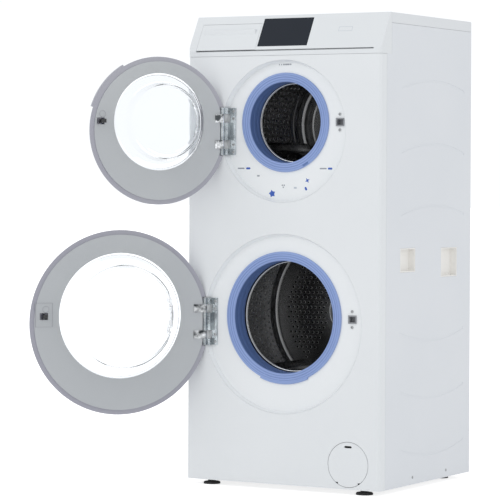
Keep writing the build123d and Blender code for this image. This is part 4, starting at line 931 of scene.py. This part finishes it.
def makeFloor():  # pale ground that fades into the white behind it, and still bounces a little light
    material = bpy.data.materials.new("studioFloor")
    material.use_nodes = True
    tree = material.node_tree
    shader = tree.nodes["Principled BSDF"]
    shader.inputs["Base Color"].default_value = (studio["floorTone"],) * 3 + (1,)
    shader.inputs["Roughness"].default_value = 0.9
    shader.inputs["Specular IOR Level"].default_value = 0.1
    shader.inputs["Emission Color"].default_value = (1, 1, 1, 1)
    glow = addNode(tree, "ShaderNodeMapRange",
                   {"Value": seenDirectly(tree), "To Min": studio["bounceGlow"],
                    "To Max": studio["seenGlow"]})
    tree.links.new(glow.outputs["Result"], shader.inputs["Emission Strength"])
    return material


floorMesh = bpy.data.meshes.new("studioFloor")
reach = studio["floorSize"]
floorMesh.from_pydata([(-reach, -reach, 0), (reach, -reach, 0), (reach, reach, 0), (-reach, reach, 0)],
                      [], [(0, 1, 2, 3)])
floorMesh.materials.append(makeFloor())
floor = bpy.data.objects.new("studioFloor", floorMesh)
bpy.context.scene.collection.objects.link(floor)

world = bpy.data.worlds.new("studio")
bpy.context.scene.world = world
world.use_nodes = True
sky = world.node_tree
sky.nodes.clear()
strength = addNode(sky, "ShaderNodeMapRange",
                   {"Value": seenDirectly(sky), "To Min": studio["sky"], "To Max": 1.05})
background = addNode(sky, "ShaderNodeBackground",
                     {"Color": (0.97, 0.985, 1.0, 1), "Strength": strength.outputs["Result"]})
skyOut = addNode(sky, "ShaderNodeOutputWorld")
sky.links.new(background.outputs[0], skyOut.inputs[0])

lamps = {
    "keyPanel": dict(place=(-2.2, -3.4, 3.0), aim=(0, 0, 0.7), size=2.4, power=31),
    "sidePanel": dict(place=(3.6, -1.0, 1.8), aim=(0, 0, 0.7), size=2.0, power=10),
}
for name, lamp in lamps.items():
    data = bpy.data.lights.new(name, "AREA")
    data.shape, data.size, data.energy = "SQUARE", lamp["size"], lamp["power"]
    light = bpy.data.objects.new(name, data)
    light.location = lamp["place"]
    gaze = Vector(lamp["aim"]) - Vector(lamp["place"])
    light.rotation_euler = gaze.to_track_quat("-Z", "Y").to_euler()
    bpy.context.scene.collection.objects.link(light)

view = dict(azimuth=29.708, elevation=0.070, roll=0.294, place=(3.3895, -6.2643, 0.8395), lens=184.46,
            shift=(-0.0467, -0.1387))
cameraData = bpy.data.cameras.new("studioCamera")
cameraData.lens, cameraData.sensor_width = view["lens"], 36
cameraData.shift_x, cameraData.shift_y = view["shift"]
camera = bpy.data.objects.new("studioCamera", cameraData)
a, e, r = (math.radians(view[key]) for key in ("azimuth", "elevation", "roll"))
back = Vector((math.sin(a) * math.cos(e), -math.cos(a) * math.cos(e), math.sin(e)))
right = Vector((math.cos(a), math.sin(a), 0))
up = back.cross(right)
right, up = right * math.cos(r) + up * math.sin(r), up * math.cos(r) - right * math.sin(r)
facing = Matrix((right, up, back)).transposed().to_4x4()
camera.matrix_world = Matrix.Translation(view["place"]) @ facing
bpy.context.scene.collection.objects.link(camera)
bpy.context.scene.camera = camera
bpy.context.scene.view_settings.view_transform = "Standard"
print("studio made")
